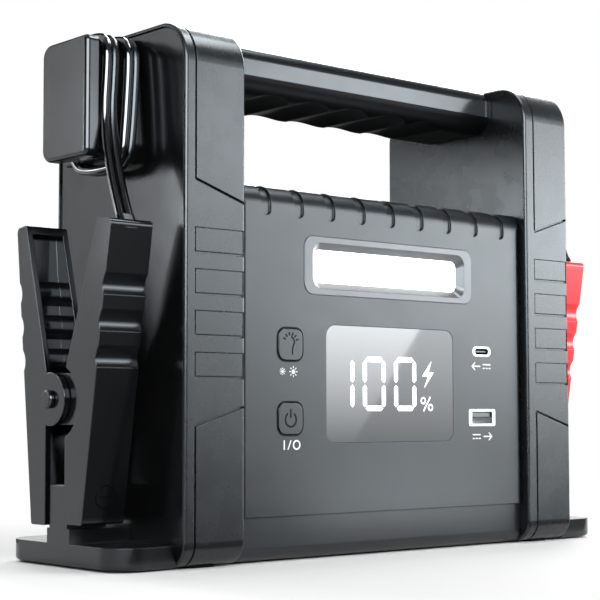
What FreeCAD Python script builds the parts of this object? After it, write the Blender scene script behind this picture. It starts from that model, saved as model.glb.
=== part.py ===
import FreeCAD, Part
import math
import os

# Jump starter pack, in millimetres. X runs to the right as seen from the front, Y to the back, Z up.
# The origin is on the floor, below the middle of the pack.

# Pillars, the two tall end frames
pillar_height = 200.6
pillar_width = 27.75
pillar_depth = 86.0
pillar_top_radius = 16.0
pillar_toe_radius = 9.0
pillar_edge_radius = 1.2
pillar_wall = 2.6
pillar_ledge = 2.0
rim_wall = 1.4
foot_height = 0.7

# Side panels, set into the open outer side of each pillar
side_panel_thickness = 2.4
side_panel_recess = 0.8
side_panel_gap = 0.25

# Lines and shallow blocks pressed into the front and the rear face of each pillar. A narrow strip is
# set off by a line: at the outer edge on the left pillar and at the inner edge on the right one.
groove_width = 0.9
groove_depth = 1.2
block_depth = 0.5
left_strip_width = 4.7
right_strip_width = 5.6
block_edge_margin = 0.6
upper_slant_outer_z = 142.7
upper_slant_inner_z = 133.7
lower_slant_outer_z = 50.1
lower_slant_inner_z = 58.5
block_count = 4
block_top_z = 123.5
block_height = 9.1
block_pitch = 15.15

# Body between the pillars, a front and a rear cover that meet in the middle
body_width = 157.4
body_top_drop = 57.4
cover_recess = 3.4
cover_wall = 2.5
cover_top_radius = 8.0
cover_end_radius = 3.0
cover_toe_radius = 5.0
plinth_top_z = 17.2
plinth_recess = 1.6
slot_count = 9
slot_width = 4.8
slot_pitch = 16.4
slot_reach = 12.1
slot_depth = 1.0

# Handle between the pillars
handle_depth = 43.6
handle_height = 19.4
handle_top_gap = 0.1
handle_top_corner = 5.5
handle_low_corner = 8.0
handle_split = 7.5
finger_count = 5
finger_pitch = 22.0
finger_chord = 20.5
finger_depth = 1.9
collar_width = 1.6
collar_groove_width = 0.8
collar_groove_depth = 0.5
core_depth = 24.0
core_height = 6.0
bracket_depth = 34.0
bracket_height = 10.0
bracket_thickness = 3.0
handle_screw_spacing = 14.0

# Controls on the front cover
display_width = 71.0
display_height = 46.0
display_z = 67.5
display_corner = 4.5
window_thickness = 1.5
window_ledge = 1.6
inset_clearance = 0.1
button_size = 12.0
button_corner = 3.3
button_column = 54.0
light_button_z = 82.25
power_button_z = 54.0
button_proud = 0.4
button_travel = 0.8
button_clearance = 0.25
button_flange = 1.0
button_stem_radius = 2.0
switch_size = 6.0
switch_height = 3.5
plunger_radius = 1.6
plunger_height = 0.7
port_column = 53.2
port_flange = 0.5
usb_c_z = 82.2
usb_c_flange_width = 11.2
usb_c_flange_height = 4.2
usb_c_opening_width = 8.4
usb_c_opening_height = 2.6
usb_c_tongue_width = 6.7
usb_c_tongue_height = 0.7
usb_a_z = 54.2
usb_a_flange_width = 16.4
usb_a_flange_height = 7.2
usb_a_opening_width = 12.5
usb_a_opening_height = 5.1
usb_a_tongue_width = 11.1
usb_a_tongue_height = 1.9
usb_a_tongue_raise = 1.2
port_shell = 0.35
port_depth = 11.0
tongue_setback = 0.8

# Work lamp above the display
lamp_width = 93.8
lamp_height = 22.9
lamp_z = 113.4
lamp_corner = 4.5
lamp_proud = 0.3
lamp_ledge = 1.6
lens_side_margin = 7.0
lens_top_margin = 5.0
lens_corner = 3.0
lens_thickness = 2.0
lens_setback = 2.7
bezel_slope = 2.6
reflector_depth = 6.0
lamp_board_thickness = 1.6
led_count = 12
led_size = 3.5
led_end_gap = 1.6
led_height = 0.9

# Inside the body
board_width = 124.0
board_height = 60.0
board_z = 68.0
board_thickness = 1.6
board_standoff = 11.0
board_post_radius = 3.0
board_post_inset = 4.0
cell_count = 4
cell_width = 112.0
cell_height = 70.0
cell_thickness = 8.0
cell_gap = 0.3
tray_wall = 2.0
tray_bottom_z = 24.0
relay_width = 24.0
relay_depth = 20.0
relay_height = 26.0
busbar_height = 10.0
busbar_thickness = 1.6
busbar_raise = 4.0
terminal_width = 8.0

# Screws: radius of the shank and of the head, height of the head
screw_radius = 1.5
screw_head_radius = 2.8
screw_head_height = 2.0
screw_clearance = 0.2
boss_radius = 4.0
cover_screw_x = 70.0
cover_screw_low_z = 12.0
cover_screw_high_z = 132.0
cover_screw_grip = 10.0
cover_screw_bite = 12.0
pillar_screw_y = 25.0
pillar_screw_low_z = 30.0
pillar_screw_high_z = 122.0
pillar_boss_length = 9.0

# Rubber feet under the pillars and the clamp stands
foot_width = 14.0
foot_length = 22.0
foot_spacing = 50.0
stand_foot_width = 10.0
stand_foot_length = 40.0

# Hook on each side panel, a neck with a cap, that the leads are wound on
hook_top_drop = 5.5
hook_height = 44.2
neck_width = 24.8
neck_corner = 7.0
neck_length = 20.15
neck_wall = 3.0
cap_thickness = 5.4
cap_width = 30.8
cap_margin = 0.4
cap_back_radius = 5.0
cap_front_radius = 2.5
cap_edge_radius = 1.7
hook_screw_spacing = 24.0
hook_screw_bite = 8.0

# Leads: two round cords to each clamp, wound once round the neck
lead_diameter = 3.4
lead_spacing = 3.7
lead_wall_gap = 1.0
lead_side_gap = 1.1
lead_top_gap = 1.75
lead_low_gap = 1.3
lead_turn_radius = 9.0
lead_turn_advance = 9.7
gland_y = 21.0
gland_depth = 8.0
gland_thickness = 8.8
gland_raise = 1.1
gland_height = 12.0
gland_fit = 0.05
gland_shank_radius = 3.0
gland_shank_length = 8.0
lead_rise = 10.0
lead_leave_raise = 5.1
lead_end_gap = 0.25
grommet_length = 4.6
grommet_rise = 1.2

# Clamps: size of the section, walls and running gaps
clamp_outer_x = 133.1
clamp_width = 18.1
clamp_wall = 2.3
clamp_gap = 0.3
right_clamp_inset = 5.0
pivot_y = 4.4
pivot_z = 61.3
pin_radius = 2.5
pin_fit = 0.02
pin_running = 0.06
pin_head_radius = 3.4
pin_head_height = 1.7
pin_tail_height = 0.9
back_boss_radius = 9.9
ear_radius = 9.4
ring_radius = 13.6
ring_y = -1.1
ring_z = 60.2

# Clamp outline seen from the side: (y, z) of the corners of each arm
front_arm_foot = (-17.2, 16.0)
front_arm_top_outer = (-35.1, 125.2)
front_arm_top_inner = (-26.3, 126.1)
front_arm_crotch = (-6.4, 73.0)
front_jaw_y = -6.0
back_arm_foot = (16.7, 15.0)
back_arm_top_outer = (29.0, 126.8)
back_arm_top_inner = (22.4, 127.7)
back_arm_crotch = (7.3, 71.4)
back_jaw_y = 7.2
arm_top_radius = 2.0
arm_small_radius = 1.0
grip_groove_count = 3
grip_groove_top_z = 105.2
grip_groove_chord = 7.8
grip_groove_pitch = 12.9
grip_groove_depth = 1.3
open_angle = 28.0

# Jaw contacts, toothed copper strips
contact_thickness = 1.4
contact_gap_to_post = 0.3
tooth_height = 1.2
tooth_count = 4
contact_height = 11.6
contact_base_gap = 0.5

# Torsion spring on the clamp's pin; its back leg lies where the fully squeezed arm holds it
spring_wire = 1.6
spring_radius = 5.4
spring_pitch = 2.05
spring_full_turns = 2
spring_front_leg_angle = 150.0
spring_front_leg = 28.6
spring_back_leg_angle = 30.0
spring_back_leg = 13.0

# Clamp stand: a ledge beside each pillar and the post that the jaws hold
stand_outer_x = 131.9
stand_depth = 76.0
stand_top_z = 8.7
stand_corner = 11.7
stand_edge_radius = 1.6
stand_step_width = 15.0
stand_step_z = 14.1
post_width = 11.8
post_top_z = 30.3
post_length = 17.0
post_edge_radius = 1.0
stand_screw_y = 4.5
stand_screw_z = 10.5
stand_screw_bite = 10.0

# Worked out from the sizes above
body_half = body_width / 2
side_x = body_half + pillar_width
panel_face_x = side_x - side_panel_recess
panel_back_x = panel_face_x - side_panel_thickness
body_top_z = pillar_height - body_top_drop
slot_low_z = body_top_z - slot_reach
cover_face = pillar_depth / 2 - cover_recess
cover_inner = cover_face - cover_wall
board_face = cover_inner - board_standoff
handle_top_z = pillar_height - handle_top_gap
handle_z = handle_top_z - handle_height / 2
hook_bottom_z = pillar_height - hook_top_drop - hook_height
hook_z = hook_bottom_z + hook_height / 2
gland_bottom_z = hook_bottom_z + gland_raise
gland_top_z = gland_bottom_z + gland_height
lead_leave_z = hook_bottom_z + lead_leave_raise
lead_side_y = neck_width / 2 + lead_side_gap + lead_diameter / 2
lens_width = lamp_width - 2 * lens_side_margin
lens_height = lamp_height - 2 * lens_top_margin
led_pitch = (lens_width - bezel_slope - led_size - 2 * led_end_gap) / (led_count - 1)
neck_end_x = panel_face_x + neck_length
cap_end_x = neck_end_x + cap_thickness
clamp_inner_x = clamp_outer_x - clamp_width
cheek_outer_x = clamp_outer_x - clamp_wall
cheek_inner_x = clamp_inner_x + clamp_wall
ear_outer_x = cheek_outer_x - clamp_gap
ear_inner_x = cheek_inner_x + clamp_gap


def vector(x, y, z):
    """A point or direction in space."""
    return FreeCAD.Vector(x, y, z)


def on_side(x):
    """Maps a point (y, z) of a side view to the plane at x."""
    return lambda y, z: vector(x, y, z)


def on_front(y):
    """Maps a point (x, z) of a front view to the plane at y."""
    return lambda x, z: vector(x, y, z)


def on_floor(z):
    """Maps a point (x, y) of a plan to the plane at z."""
    return lambda x, y: vector(x, y, z)


def outline(corners, place):
    """Closed face through corners (u, v, radius), with a tangent arc at each corner that has a radius."""
    count = len(corners)
    starts = []
    ends = []
    middles = []
    for i in range(count):
        before = vector(corners[i - 1][0], corners[i - 1][1], 0)
        corner = vector(corners[i][0], corners[i][1], 0)
        after = vector(corners[(i + 1) % count][0], corners[(i + 1) % count][1], 0)
        radius = corners[i][2]
        to_before = (before - corner).normalize()
        to_after = (after - corner).normalize()
        if radius <= 0:
            starts.append(corner)
            ends.append(corner)
            middles.append(None)
            continue
        half = to_before.getAngle(to_after) / 2
        reach = radius / math.tan(half)
        bisector = (to_before + to_after).normalize()
        starts.append(corner + to_before * reach)
        ends.append(corner + to_after * reach)
        middles.append(corner + bisector * (radius / math.sin(half) - radius))
    edges = []
    for i in range(count):
        if middles[i] is not None:
            arc = [place(point.x, point.y) for point in (starts[i], middles[i], ends[i])]
            edges.append(Part.Arc(*arc).toShape())
        here = ends[i]
        there = starts[(i + 1) % count]
        if here.distanceToPoint(there) > 1e-6:
            edges.append(Part.LineSegment(place(here.x, here.y), place(there.x, there.y)).toShape())
    return Part.Face(Part.Wire(edges))


def side_prism(corners, x_low, x_high):
    """Solid with a side view given as corners (y, z, radius), from x_low to x_high."""
    return outline(corners, on_side(x_low)).extrude(vector(x_high - x_low, 0, 0))


def front_prism(corners, y_low, y_high):
    """Solid with a front view given as corners (x, z, radius), from y_low to y_high."""
    return outline(corners, on_front(y_low)).extrude(vector(0, y_high - y_low, 0))


def plan_prism(corners, z_low, z_high):
    """Solid with a plan given as corners (x, y, radius), from z_low to z_high."""
    return outline(corners, on_floor(z_low)).extrude(vector(0, 0, z_high - z_low))


def rectangle(u, v, width, height, radius=0.0):
    """Corners of a rectangle about (u, v), all rounded alike."""
    a = width / 2
    b = height / 2
    return [(u - a, v - b, radius), (u + a, v - b, radius), (u + a, v + b, radius), (u - a, v + b, radius)]


def box(x_low, x_high, y_low, y_high, z_low, z_high):
    """Block between two corners."""
    size = (x_high - x_low, y_high - y_low, z_high - z_low)
    return Part.makeBox(*size, vector(x_low, y_low, z_low))


def rod(start, direction, length, radius):
    """Round bar from start along direction."""
    return Part.makeCylinder(radius, length, start, direction)


def screw(seat, direction, length):
    """Screw whose head lies on the seat and whose shank runs along direction."""
    back = seat - direction * screw_head_height
    head = rod(back, direction, screw_head_height, screw_head_radius)
    return head.fuse(rod(seat, direction, length, screw_radius)).removeSplitter()


def screw_hole(start, direction, length):
    """Clearance hole for a screw's shank."""
    return rod(start, direction, length, screw_radius + screw_clearance)


def mirrored(shape):
    """The same piece on the left side of the pack."""
    return shape.mirror(vector(0, 0, 0), vector(1, 0, 0))


def behind(shape):
    """The same shape on the rear of the pack."""
    return shape.mirror(vector(0, 0, 0), vector(0, 1, 0))


def group(shapes):
    """Separate solids that share one node."""
    return Part.makeCompound(shapes)


def save(name, shape):
    """Write one node."""
    shape.exportStep("parts/" + name + ".step")


def save_clamp_pair(name, shape):
    """Write a piece of a clamp; the right clamp is clipped on further in than the left one."""
    save("right_" + name, shape.translated(vector(-right_clamp_inset, 0, 0)))
    save("left_" + name, mirrored(shape))


def clamp_group(shape):
    """The same small piece of both clamps, as separate solids."""
    return group([shape.translated(vector(-right_clamp_inset, 0, 0)), mirrored(shape)])


def save_pair(name, shape):
    """Write a piece of the right side and its twin on the left."""
    save("right_" + name, shape)
    save("left_" + name, mirrored(shape))


def pillar_profile(inset):
    """Side view of a pillar, drawn in by an inset."""
    half = pillar_depth / 2 - inset
    top = pillar_height - inset
    bottom = foot_height + inset
    top_radius = pillar_top_radius - inset
    toe_radius = pillar_toe_radius - inset
    return [
        (-half, bottom, toe_radius),
        (half, bottom, toe_radius),
        (half, top, top_radius),
        (-half, top, top_radius),
    ]


def face_line(x1, z1, x2, z2):
    """Groove cutter along a straight line of the pillar's front face."""
    length = math.hypot(x2 - x1, z2 - z1)
    corner = vector(0, -pillar_depth / 2 - groove_depth, -groove_width / 2)
    cutter = Part.makeBox(length, 2 * groove_depth, groove_width, corner)
    cutter.rotate(vector(0, 0, 0), vector(0, -1, 0), math.degrees(math.atan2(z2 - z1, x2 - x1)))
    cutter.translate(vector(x1, 0, z1))
    return cutter


def slant_z(x, outer_z, inner_z):
    """Height of a slanted line of the pillar's face at a distance from the middle of the pack."""
    return inner_z + (outer_z - inner_z) * (x - body_half) / pillar_width


def pillar_grooves(strip_x, far_x):
    """Cutters for a pillar on the right side; its blocks lie between its strip's line and far_x."""
    strip_top = slant_z(strip_x, upper_slant_outer_z, upper_slant_inner_z)
    strip_low = slant_z(strip_x, lower_slant_outer_z, lower_slant_inner_z)
    far_top = slant_z(far_x, upper_slant_outer_z, upper_slant_inner_z)
    far_low = slant_z(far_x, lower_slant_outer_z, lower_slant_inner_z)
    low_x = strip_x - groove_width / 2
    high_x = strip_x + groove_width / 2
    band = side_prism(pillar_profile(-1.0), low_x, high_x)
    band = band.cut(side_prism(pillar_profile(groove_depth), low_x, high_x))
    middle = box(low_x - 1, high_x + 1, -pillar_depth, pillar_depth, strip_low, strip_top)
    lines = [face_line(strip_x, strip_top, far_x, far_top), face_line(strip_x, strip_low, far_x, far_low)]
    block_low_x = min(strip_x, far_x)
    block_high_x = max(strip_x, far_x)
    front = -pillar_depth / 2
    for i in range(block_count):
        top = block_top_z - i * block_pitch
        bottom = top - block_height
        lines.append(face_line(strip_x, bottom, strip_x, top))
        lines.append(face_line(far_x, bottom, far_x, top))
        lines.append(face_line(strip_x, bottom, far_x, bottom))
        lines.append(box(block_low_x, block_high_x, front - 1, front + block_depth, bottom, top))
    return [band.cut(middle)] + lines + [behind(line) for line in lines]


def outer_rim_edges(shape, x):
    """Edges of a solid that lie wholly in the plane at x."""
    found = []
    for edge in shape.Edges:
        bounds = edge.BoundBox
        if abs(bounds.XMin - x) < 1e-4 and abs(bounds.XMax - x) < 1e-4:
            found.append(edge)
    return found


def pillar_screw_places():
    """Where the screws between a pillar and a cover run, as (y, z)."""
    places = []
    for y in (-pillar_screw_y, pillar_screw_y):
        for z in (pillar_screw_low_z, pillar_screw_high_z):
            places.append((y, z))
    return places


def stand_screw_places():
    """Where the screws into a clamp stand run, as (y, z)."""
    return [(-stand_screw_y, stand_screw_z), (stand_screw_y, stand_screw_z)]


def hook_screw_places():
    """Where the screws into a hook run, as z."""
    return [hook_z - hook_screw_spacing / 2, hook_z + hook_screw_spacing / 2]


def busbar_z():
    """Height of the lower edge of the busbars, above the battery tray."""
    return tray_top_z() + busbar_raise


def tray_top_z():
    """Top of the battery tray."""
    return tray_bottom_z + cell_height + 2 * tray_wall


def busbar_slot(x_low, x_high):
    """Passage for the busbar through the walls between the body and the pillar."""
    margin = screw_clearance * 5
    return box(
        x_low,
        x_high,
        gland_y - busbar_thickness / 2 - margin,
        gland_y + busbar_thickness / 2 + margin,
        busbar_z() - margin,
        busbar_z() + busbar_height + margin,
    )


def pillar(strip_x, far_x):
    """Pillar on the right side: a tray that is open to the right, with a ledge for its side panel."""
    shell = side_prism(pillar_profile(0.0), body_half, side_x)
    rims = outer_rim_edges(shell, side_x) + outer_rim_edges(shell, body_half)
    shell = shell.makeFillet(pillar_edge_radius, rims)
    floor_x = body_half + pillar_wall
    shell = shell.cut(side_prism(pillar_profile(pillar_wall + pillar_ledge), floor_x, panel_back_x))
    shell = shell.cut(side_prism(pillar_profile(rim_wall), panel_back_x, side_x + 1))
    cutters = pillar_grooves(strip_x, far_x)
    inward = vector(1, 0, 0)
    for y, z in pillar_screw_places():
        cutters.append(screw_hole(vector(body_half - 1, y, z), inward, pillar_wall + 2))
    cutters.append(busbar_slot(body_half - 1, floor_x + 1))
    core = rectangle(0, handle_z, core_depth, core_height, core_height / 2)
    cutters.append(side_prism(core, body_half - 1, floor_x + 1))
    return shell.cut(cutters)


def pillars():
    """Both pillars, alike but for the side that their strip lies on."""
    save("right_pillar", pillar(body_half + right_strip_width, side_x - block_edge_margin))
    save("left_pillar", mirrored(pillar(side_x - left_strip_width, body_half + block_edge_margin)))


def side_panel():
    """Flat panel that closes the right pillar."""
    panel = side_prism(pillar_profile(rim_wall + side_panel_gap), panel_back_x, panel_face_x)
    outward = vector(1, 0, 0)
    reach = side_panel_thickness + 2
    for z in hook_screw_places():
        panel = panel.cut(screw_hole(vector(panel_back_x - 1, 0, z), outward, reach))
    for y, z in stand_screw_places():
        panel = panel.cut(screw_hole(vector(panel_back_x - 1, y, z), outward, reach))
    shank = rod(vector(panel_back_x - 1, gland_y, gland_z()), outward, reach, gland_shank_radius)
    return panel.cut(shank)


def cover_profile(inset):
    """Side view of the front cover, drawn in by an inset; it is open towards the rear."""
    face = -cover_face + inset
    plinth = face + plinth_recess
    bottom = foot_height + inset
    top = body_top_z - inset
    step = plinth_top_z + inset
    return [
        (0.0, bottom, 0.0),
        (plinth, bottom, cover_toe_radius - inset),
        (plinth, step, 0.0),
        (face, step, 0.0),
        (face, top, cover_top_radius - inset),
        (0.0, top, 0.0),
    ]


def slots():
    """The row of slots that run over the top edge of the front cover."""
    core = side_prism(cover_profile(slot_depth), -body_half, body_half)
    top = body_top_z + slot_width
    cutters = []
    for i in range(slot_count):
        x = slot_pitch * (i - (slot_count - 1) / 2)
        bar = front_prism(
            rectangle(x, (slot_low_z + top) / 2, slot_width, top - slot_low_z, slot_width * 0.499),
            -cover_face - 1,
            0.0,
        )
        cutters.append(bar.cut(core))
    return cutters


def cover_blank():
    """Front cover before the openings for the controls: face, top, bottom and both rounded ends."""
    shell = side_prism(cover_profile(0.0), -body_half, body_half)
    plan = rectangle(0, 0, body_width, 2 * cover_face, cover_end_radius)
    shell = shell.common(plan_prism(plan, 0.0, body_top_z + 1))
    inside = side_prism(cover_profile(cover_wall), -body_half + cover_wall, body_half - cover_wall)
    shell = shell.cut(inside)
    bosses = []
    for x in (-cover_screw_x, cover_screw_x):
        for z in (cover_screw_low_z, cover_screw_high_z):
            face = cover_inner - plinth_recess if z < plinth_top_z else cover_inner
            length = face + cover_wall / 2
            bosses.append(rod(vector(x, -length, z), vector(0, 1, 0), length, boss_radius))
    for side in (-1, 1):
        for z in (pillar_screw_low_z, pillar_screw_high_z):
            start = vector(side * (body_half - cover_wall / 2), -pillar_screw_y, z)
            bosses.append(rod(start, vector(-side, 0, 0), pillar_boss_length, boss_radius))
    shell = shell.fuse(bosses)
    cutters = slots()
    for side in (-1, 1):
        for z in (pillar_screw_low_z, pillar_screw_high_z):
            start = vector(side * (body_half + 1), -pillar_screw_y, z)
            cutters.append(rod(start, vector(-side, 0, 0), pillar_boss_length, screw_radius))
    return shell.cut(cutters)


def board_post_places():
    """Where the posts for the control board stand, as (x, z)."""
    half_x = board_width / 2 - board_post_inset
    half_z = board_height / 2 - board_post_inset
    places = []
    for x in (-half_x, half_x):
        for z in (board_z - half_z, board_z + half_z):
            places.append((x, z))
    return places


def front_cover():
    """Front cover with its openings for display, buttons, ports and lamp, and the posts of the board."""
    cover = cover_blank()
    posts = []
    for x, z in board_post_places():
        start = vector(x, -cover_inner - cover_wall / 2, z)
        posts.append(rod(start, vector(0, 1, 0), board_standoff + cover_wall / 2, board_post_radius))
    cover = cover.fuse(posts)
    front = -cover_face - 1
    back = -cover_inner + 1
    ledge_y = -cover_face + window_thickness + inset_clearance
    cutters = []
    window = rectangle(0, display_z, display_width, display_height, display_corner)
    hole = rectangle(
        0,
        display_z,
        display_width - 2 * window_ledge,
        display_height - 2 * window_ledge,
        display_corner - window_ledge,
    )
    cutters.append(front_prism(window, front, ledge_y))
    cutters.append(front_prism(hole, front, back))
    opening = button_size + 2 * button_clearance
    for z in (light_button_z, power_button_z):
        square = rectangle(-button_column, z, opening, opening, button_corner + button_clearance)
        cutters.append(front_prism(square, front, back))
    for shape in (usb_a_outline, usb_c_outline):
        cutters.append(front_prism(shape(port_shell + inset_clearance), front, back))
    cutters.append(front_prism(usb_a_flange(), front, -cover_face + port_flange))
    cutters.append(front_prism(usb_c_flange(), front, -cover_face + port_flange))
    bezel = rectangle(0, lamp_z, lamp_width, lamp_height, lamp_corner)
    cutters.append(front_prism(bezel, front, -cover_face + lamp_ledge))
    cutters.append(front_prism(lamp_body_outline(inset_clearance), front, back))
    for x, z in board_post_places():
        cutters.append(rod(vector(x, -cover_inner, z), vector(0, 1, 0), board_standoff + 1, screw_radius))
    for x in (-cover_screw_x, cover_screw_x):
        for z in (cover_screw_low_z, cover_screw_high_z):
            start = vector(x, -cover_screw_bite, z)
            cutters.append(rod(start, vector(0, 1, 0), cover_screw_bite + 1, screw_radius))
    return cover.cut(cutters)


def rear_cover():
    """Rear cover, with deep holes for the screws that hold both covers together."""
    cover = behind(cover_blank())
    outward = vector(0, 1, 0)
    cutters = [busbar_slot(-body_half - 1, -body_half + cover_wall + 1)]
    cutters.append(busbar_slot(body_half - cover_wall - 1, body_half + 1))
    for x in (-cover_screw_x, cover_screw_x):
        for z in (cover_screw_low_z, cover_screw_high_z):
            cutters.append(screw_hole(vector(x, -1, z), outward, cover_face + 2))
            pocket_radius = screw_head_radius + screw_clearance
            cutters.append(rod(vector(x, cover_screw_grip, z), outward, cover_face, pocket_radius))
    return cover.cut(cutters)


def cover_screws():
    """Four long screws that go in from the rear."""
    screws = []
    for x in (-cover_screw_x, cover_screw_x):
        for z in (cover_screw_low_z, cover_screw_high_z):
            length = cover_screw_grip + cover_screw_bite - 1
            screws.append(screw(vector(x, cover_screw_grip, z), vector(0, -1, 0), length))
    return group(screws)


def pillar_screws():
    """Eight screws that hold the pillars to the covers, driven from inside the pillars."""
    screws = []
    for side in (-1, 1):
        for y, z in pillar_screw_places():
            seat = vector(side * (body_half + pillar_wall), y, z)
            screws.append(screw(seat, vector(-side, 0, 0), pillar_wall + pillar_boss_length - 2))
    return group(screws)


def rubber_feet():
    """Two pads under each pillar and one under each clamp stand."""
    pads = []
    pillar_x = body_half + pillar_width / 2
    stand_x = (side_x + stand_outer_x) / 2
    for side in (-1, 1):
        for y in (-foot_spacing / 2, foot_spacing / 2):
            pad = rectangle(side * pillar_x, y, foot_width, foot_length, foot_width / 4)
            pads.append(plan_prism(pad, 0.0, foot_height))
        pad = rectangle(side * stand_x, 0.0, stand_foot_width, stand_foot_length, stand_foot_width / 4)
        pads.append(plan_prism(pad, 0.0, foot_height))
    return group(pads)


def handle_section(shrink):
    """Side view of the handle."""
    half = handle_depth / 2 - shrink
    top = handle_top_z - shrink
    low = handle_top_z - handle_height + shrink
    return [
        (-half, low, handle_low_corner - shrink),
        (half, low, handle_low_corner - shrink),
        (half, top, handle_top_corner - shrink),
        (-half, top, handle_top_corner - shrink),
    ]


def handle_parts():
    """Smooth upper bar and soft lower grip with finger hollows, both round a flat metal core."""
    full = side_prism(handle_section(0.0), -body_half, body_half)
    for side in (-1, 1):
        far = side * (body_half - collar_width)
        near = far - side * collar_groove_width
        ring = side_prism(handle_section(-1.0), min(near, far), max(near, far))
        ring = ring.cut(side_prism(handle_section(collar_groove_depth), min(near, far), max(near, far)))
        full = full.cut(ring)
    core = rectangle(0, handle_z, core_depth, core_height, core_height / 2)
    core_length = body_half + pillar_wall
    metal = side_prism(core, -core_length, core_length)
    split_z = handle_z - handle_height / 2 + handle_split
    below = box(-body_half, body_half, -handle_depth, handle_depth, 0, split_z)
    grip = full.common(below).cut(metal)
    bar = full.cut(below).cut(metal)
    hollow_radius = (finger_chord ** 2 / 4 + finger_depth ** 2) / (2 * finger_depth)
    hollow_z = handle_top_z - handle_height + finger_depth - hollow_radius
    for i in range(finger_count):
        x = finger_pitch * (i - (finger_count - 1) / 2)
        start = vector(x, -handle_depth, hollow_z)
        grip = grip.cut(rod(start, vector(0, 1, 0), 2 * handle_depth, hollow_radius))
    save("handle_bar", bar)
    save("handle_grip", grip)
    holes = []
    screws = []
    brackets = []
    for side in (-1, 1):
        near = side * core_length
        far = side * (core_length + bracket_thickness)
        plate = rectangle(0, handle_z, bracket_depth, bracket_height, bracket_height / 4)
        plate = side_prism(plate, min(near, far), max(near, far))
        for y in (-handle_screw_spacing / 2, handle_screw_spacing / 2):
            inward = vector(-side, 0, 0)
            plate = plate.cut(screw_hole(vector(far + side, y, handle_z), inward, bracket_thickness + 2))
            holes.append(rod(vector(near + side, y, handle_z), inward, pillar_boss_length, screw_radius))
            length = bracket_thickness + pillar_boss_length - 2
            screws.append(screw(vector(far, y, handle_z), inward, length))
        brackets.append(plate)
    save("handle_core", metal.cut(group(holes)))
    save("handle_brackets", group(brackets))
    save("handle_screws", group(screws))


def display_parts():
    """Gloss window and the display module behind it, which stands on the control board."""
    seat = -cover_face + window_thickness + inset_clearance
    window = rectangle(
        0,
        display_z,
        display_width - 2 * inset_clearance,
        display_height - 2 * inset_clearance,
        display_corner - inset_clearance,
    )
    save("display_window", front_prism(window, seat - window_thickness, seat))
    inset = 2 * (window_ledge + 2 * inset_clearance)
    corner = display_corner - window_ledge
    module = rectangle(0, display_z, display_width - inset, display_height - inset, corner)
    save("display_module", front_prism(module, seat, -board_face))


def button(z):
    """Push button: square cap, flange behind the cover and a stem towards its switch."""
    x = -button_column
    front = -cover_face - button_proud
    flange_y = -cover_inner + button_clearance
    flange_back = flange_y + button_flange
    cap = front_prism(rectangle(x, z, button_size, button_size, button_corner), front, flange_back)
    cap = cap.makeFillet(button_clearance, edges_in_plane_y(cap, front))
    wide = button_size + 2 * button_clearance + 2 * button_flange
    flange = front_prism(rectangle(x, z, wide, wide, button_corner), flange_y, flange_back)
    stem_end = plunger_face() - button_travel - button_clearance
    stem = rod(vector(x, flange_back, z), vector(0, 1, 0), stem_end - flange_back, button_stem_radius)
    return cap.fuse([flange, stem]).removeSplitter()


def edges_in_plane_y(shape, y):
    """Edges of a solid that lie wholly in the plane at y."""
    found = []
    for edge in shape.Edges:
        bounds = edge.BoundBox
        if abs(bounds.YMin - y) < 1e-4 and abs(bounds.YMax - y) < 1e-4:
            found.append(edge)
    return found


def plunger_face():
    """Where the plunger of a button's switch begins."""
    return -board_face - switch_height - plunger_height


def button_switches():
    """Two small switches on the board, one behind each button."""
    switches = []
    x = -button_column
    for z in (light_button_z, power_button_z):
        square = rectangle(x, z, switch_size, switch_size)
        body = front_prism(square, -board_face - switch_height, -board_face)
        plunger = rod(vector(x, plunger_face(), z), vector(0, 1, 0), plunger_height, plunger_radius)
        switches.append(body.fuse(plunger).removeSplitter())
    return group(switches)


def usb_a_outline(grow):
    """Opening of the flat port, grown by a wall."""
    width = usb_a_opening_width + 2 * grow
    height = usb_a_opening_height + 2 * grow
    return rectangle(port_column, usb_a_z, width, height, port_shell + grow)


def usb_c_outline(grow):
    """Opening of the round-ended port, grown by a wall."""
    width = usb_c_opening_width + 2 * grow
    height = usb_c_opening_height + 2 * grow
    return rectangle(port_column, usb_c_z, width, height, height * 0.499)


def usb_a_flange():
    """Front rim of the flat port."""
    corner = usb_a_flange_height / 8
    return rectangle(port_column, usb_a_z, usb_a_flange_width, usb_a_flange_height, corner)


def usb_c_flange():
    """Front rim of the round-ended port."""
    corner = usb_c_flange_height * 0.499
    return rectangle(port_column, usb_c_z, usb_c_flange_width, usb_c_flange_height, corner)


def port(outline_of, flange):
    """Metal shell of a port, from the face of the cover to the board."""
    front = -cover_face
    shell = front_prism(outline_of(port_shell), front, -board_face)
    shell = shell.fuse(front_prism(flange, front, front + port_flange)).removeSplitter()
    return shell.cut(front_prism(outline_of(0.0), front - 1, front + port_depth))


def port_parts():
    """Both ports and the tongues inside them."""
    x = port_column
    save("usb_a_port", port(usb_a_outline, usb_a_flange()))
    save("usb_c_port", port(usb_c_outline, usb_c_flange()))
    front = -cover_face + tongue_setback
    back = -cover_face + port_depth
    tongue = rectangle(x, usb_a_z + usb_a_tongue_raise, usb_a_tongue_width, usb_a_tongue_height)
    save("usb_a_tongue", front_prism(tongue, front, back))
    tongue = rectangle(x, usb_c_z, usb_c_tongue_width, usb_c_tongue_height)
    save("usb_c_tongue", front_prism(tongue, front, back))


def lamp_body_outline(grow):
    """Part of the lamp that goes through the cover, behind the bezel's rim."""
    width = lamp_width - 2 * lamp_ledge + 2 * grow
    height = lamp_height - 2 * lamp_ledge + 2 * grow
    return rectangle(0, lamp_z, width, height, lamp_corner - lamp_ledge)


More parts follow.
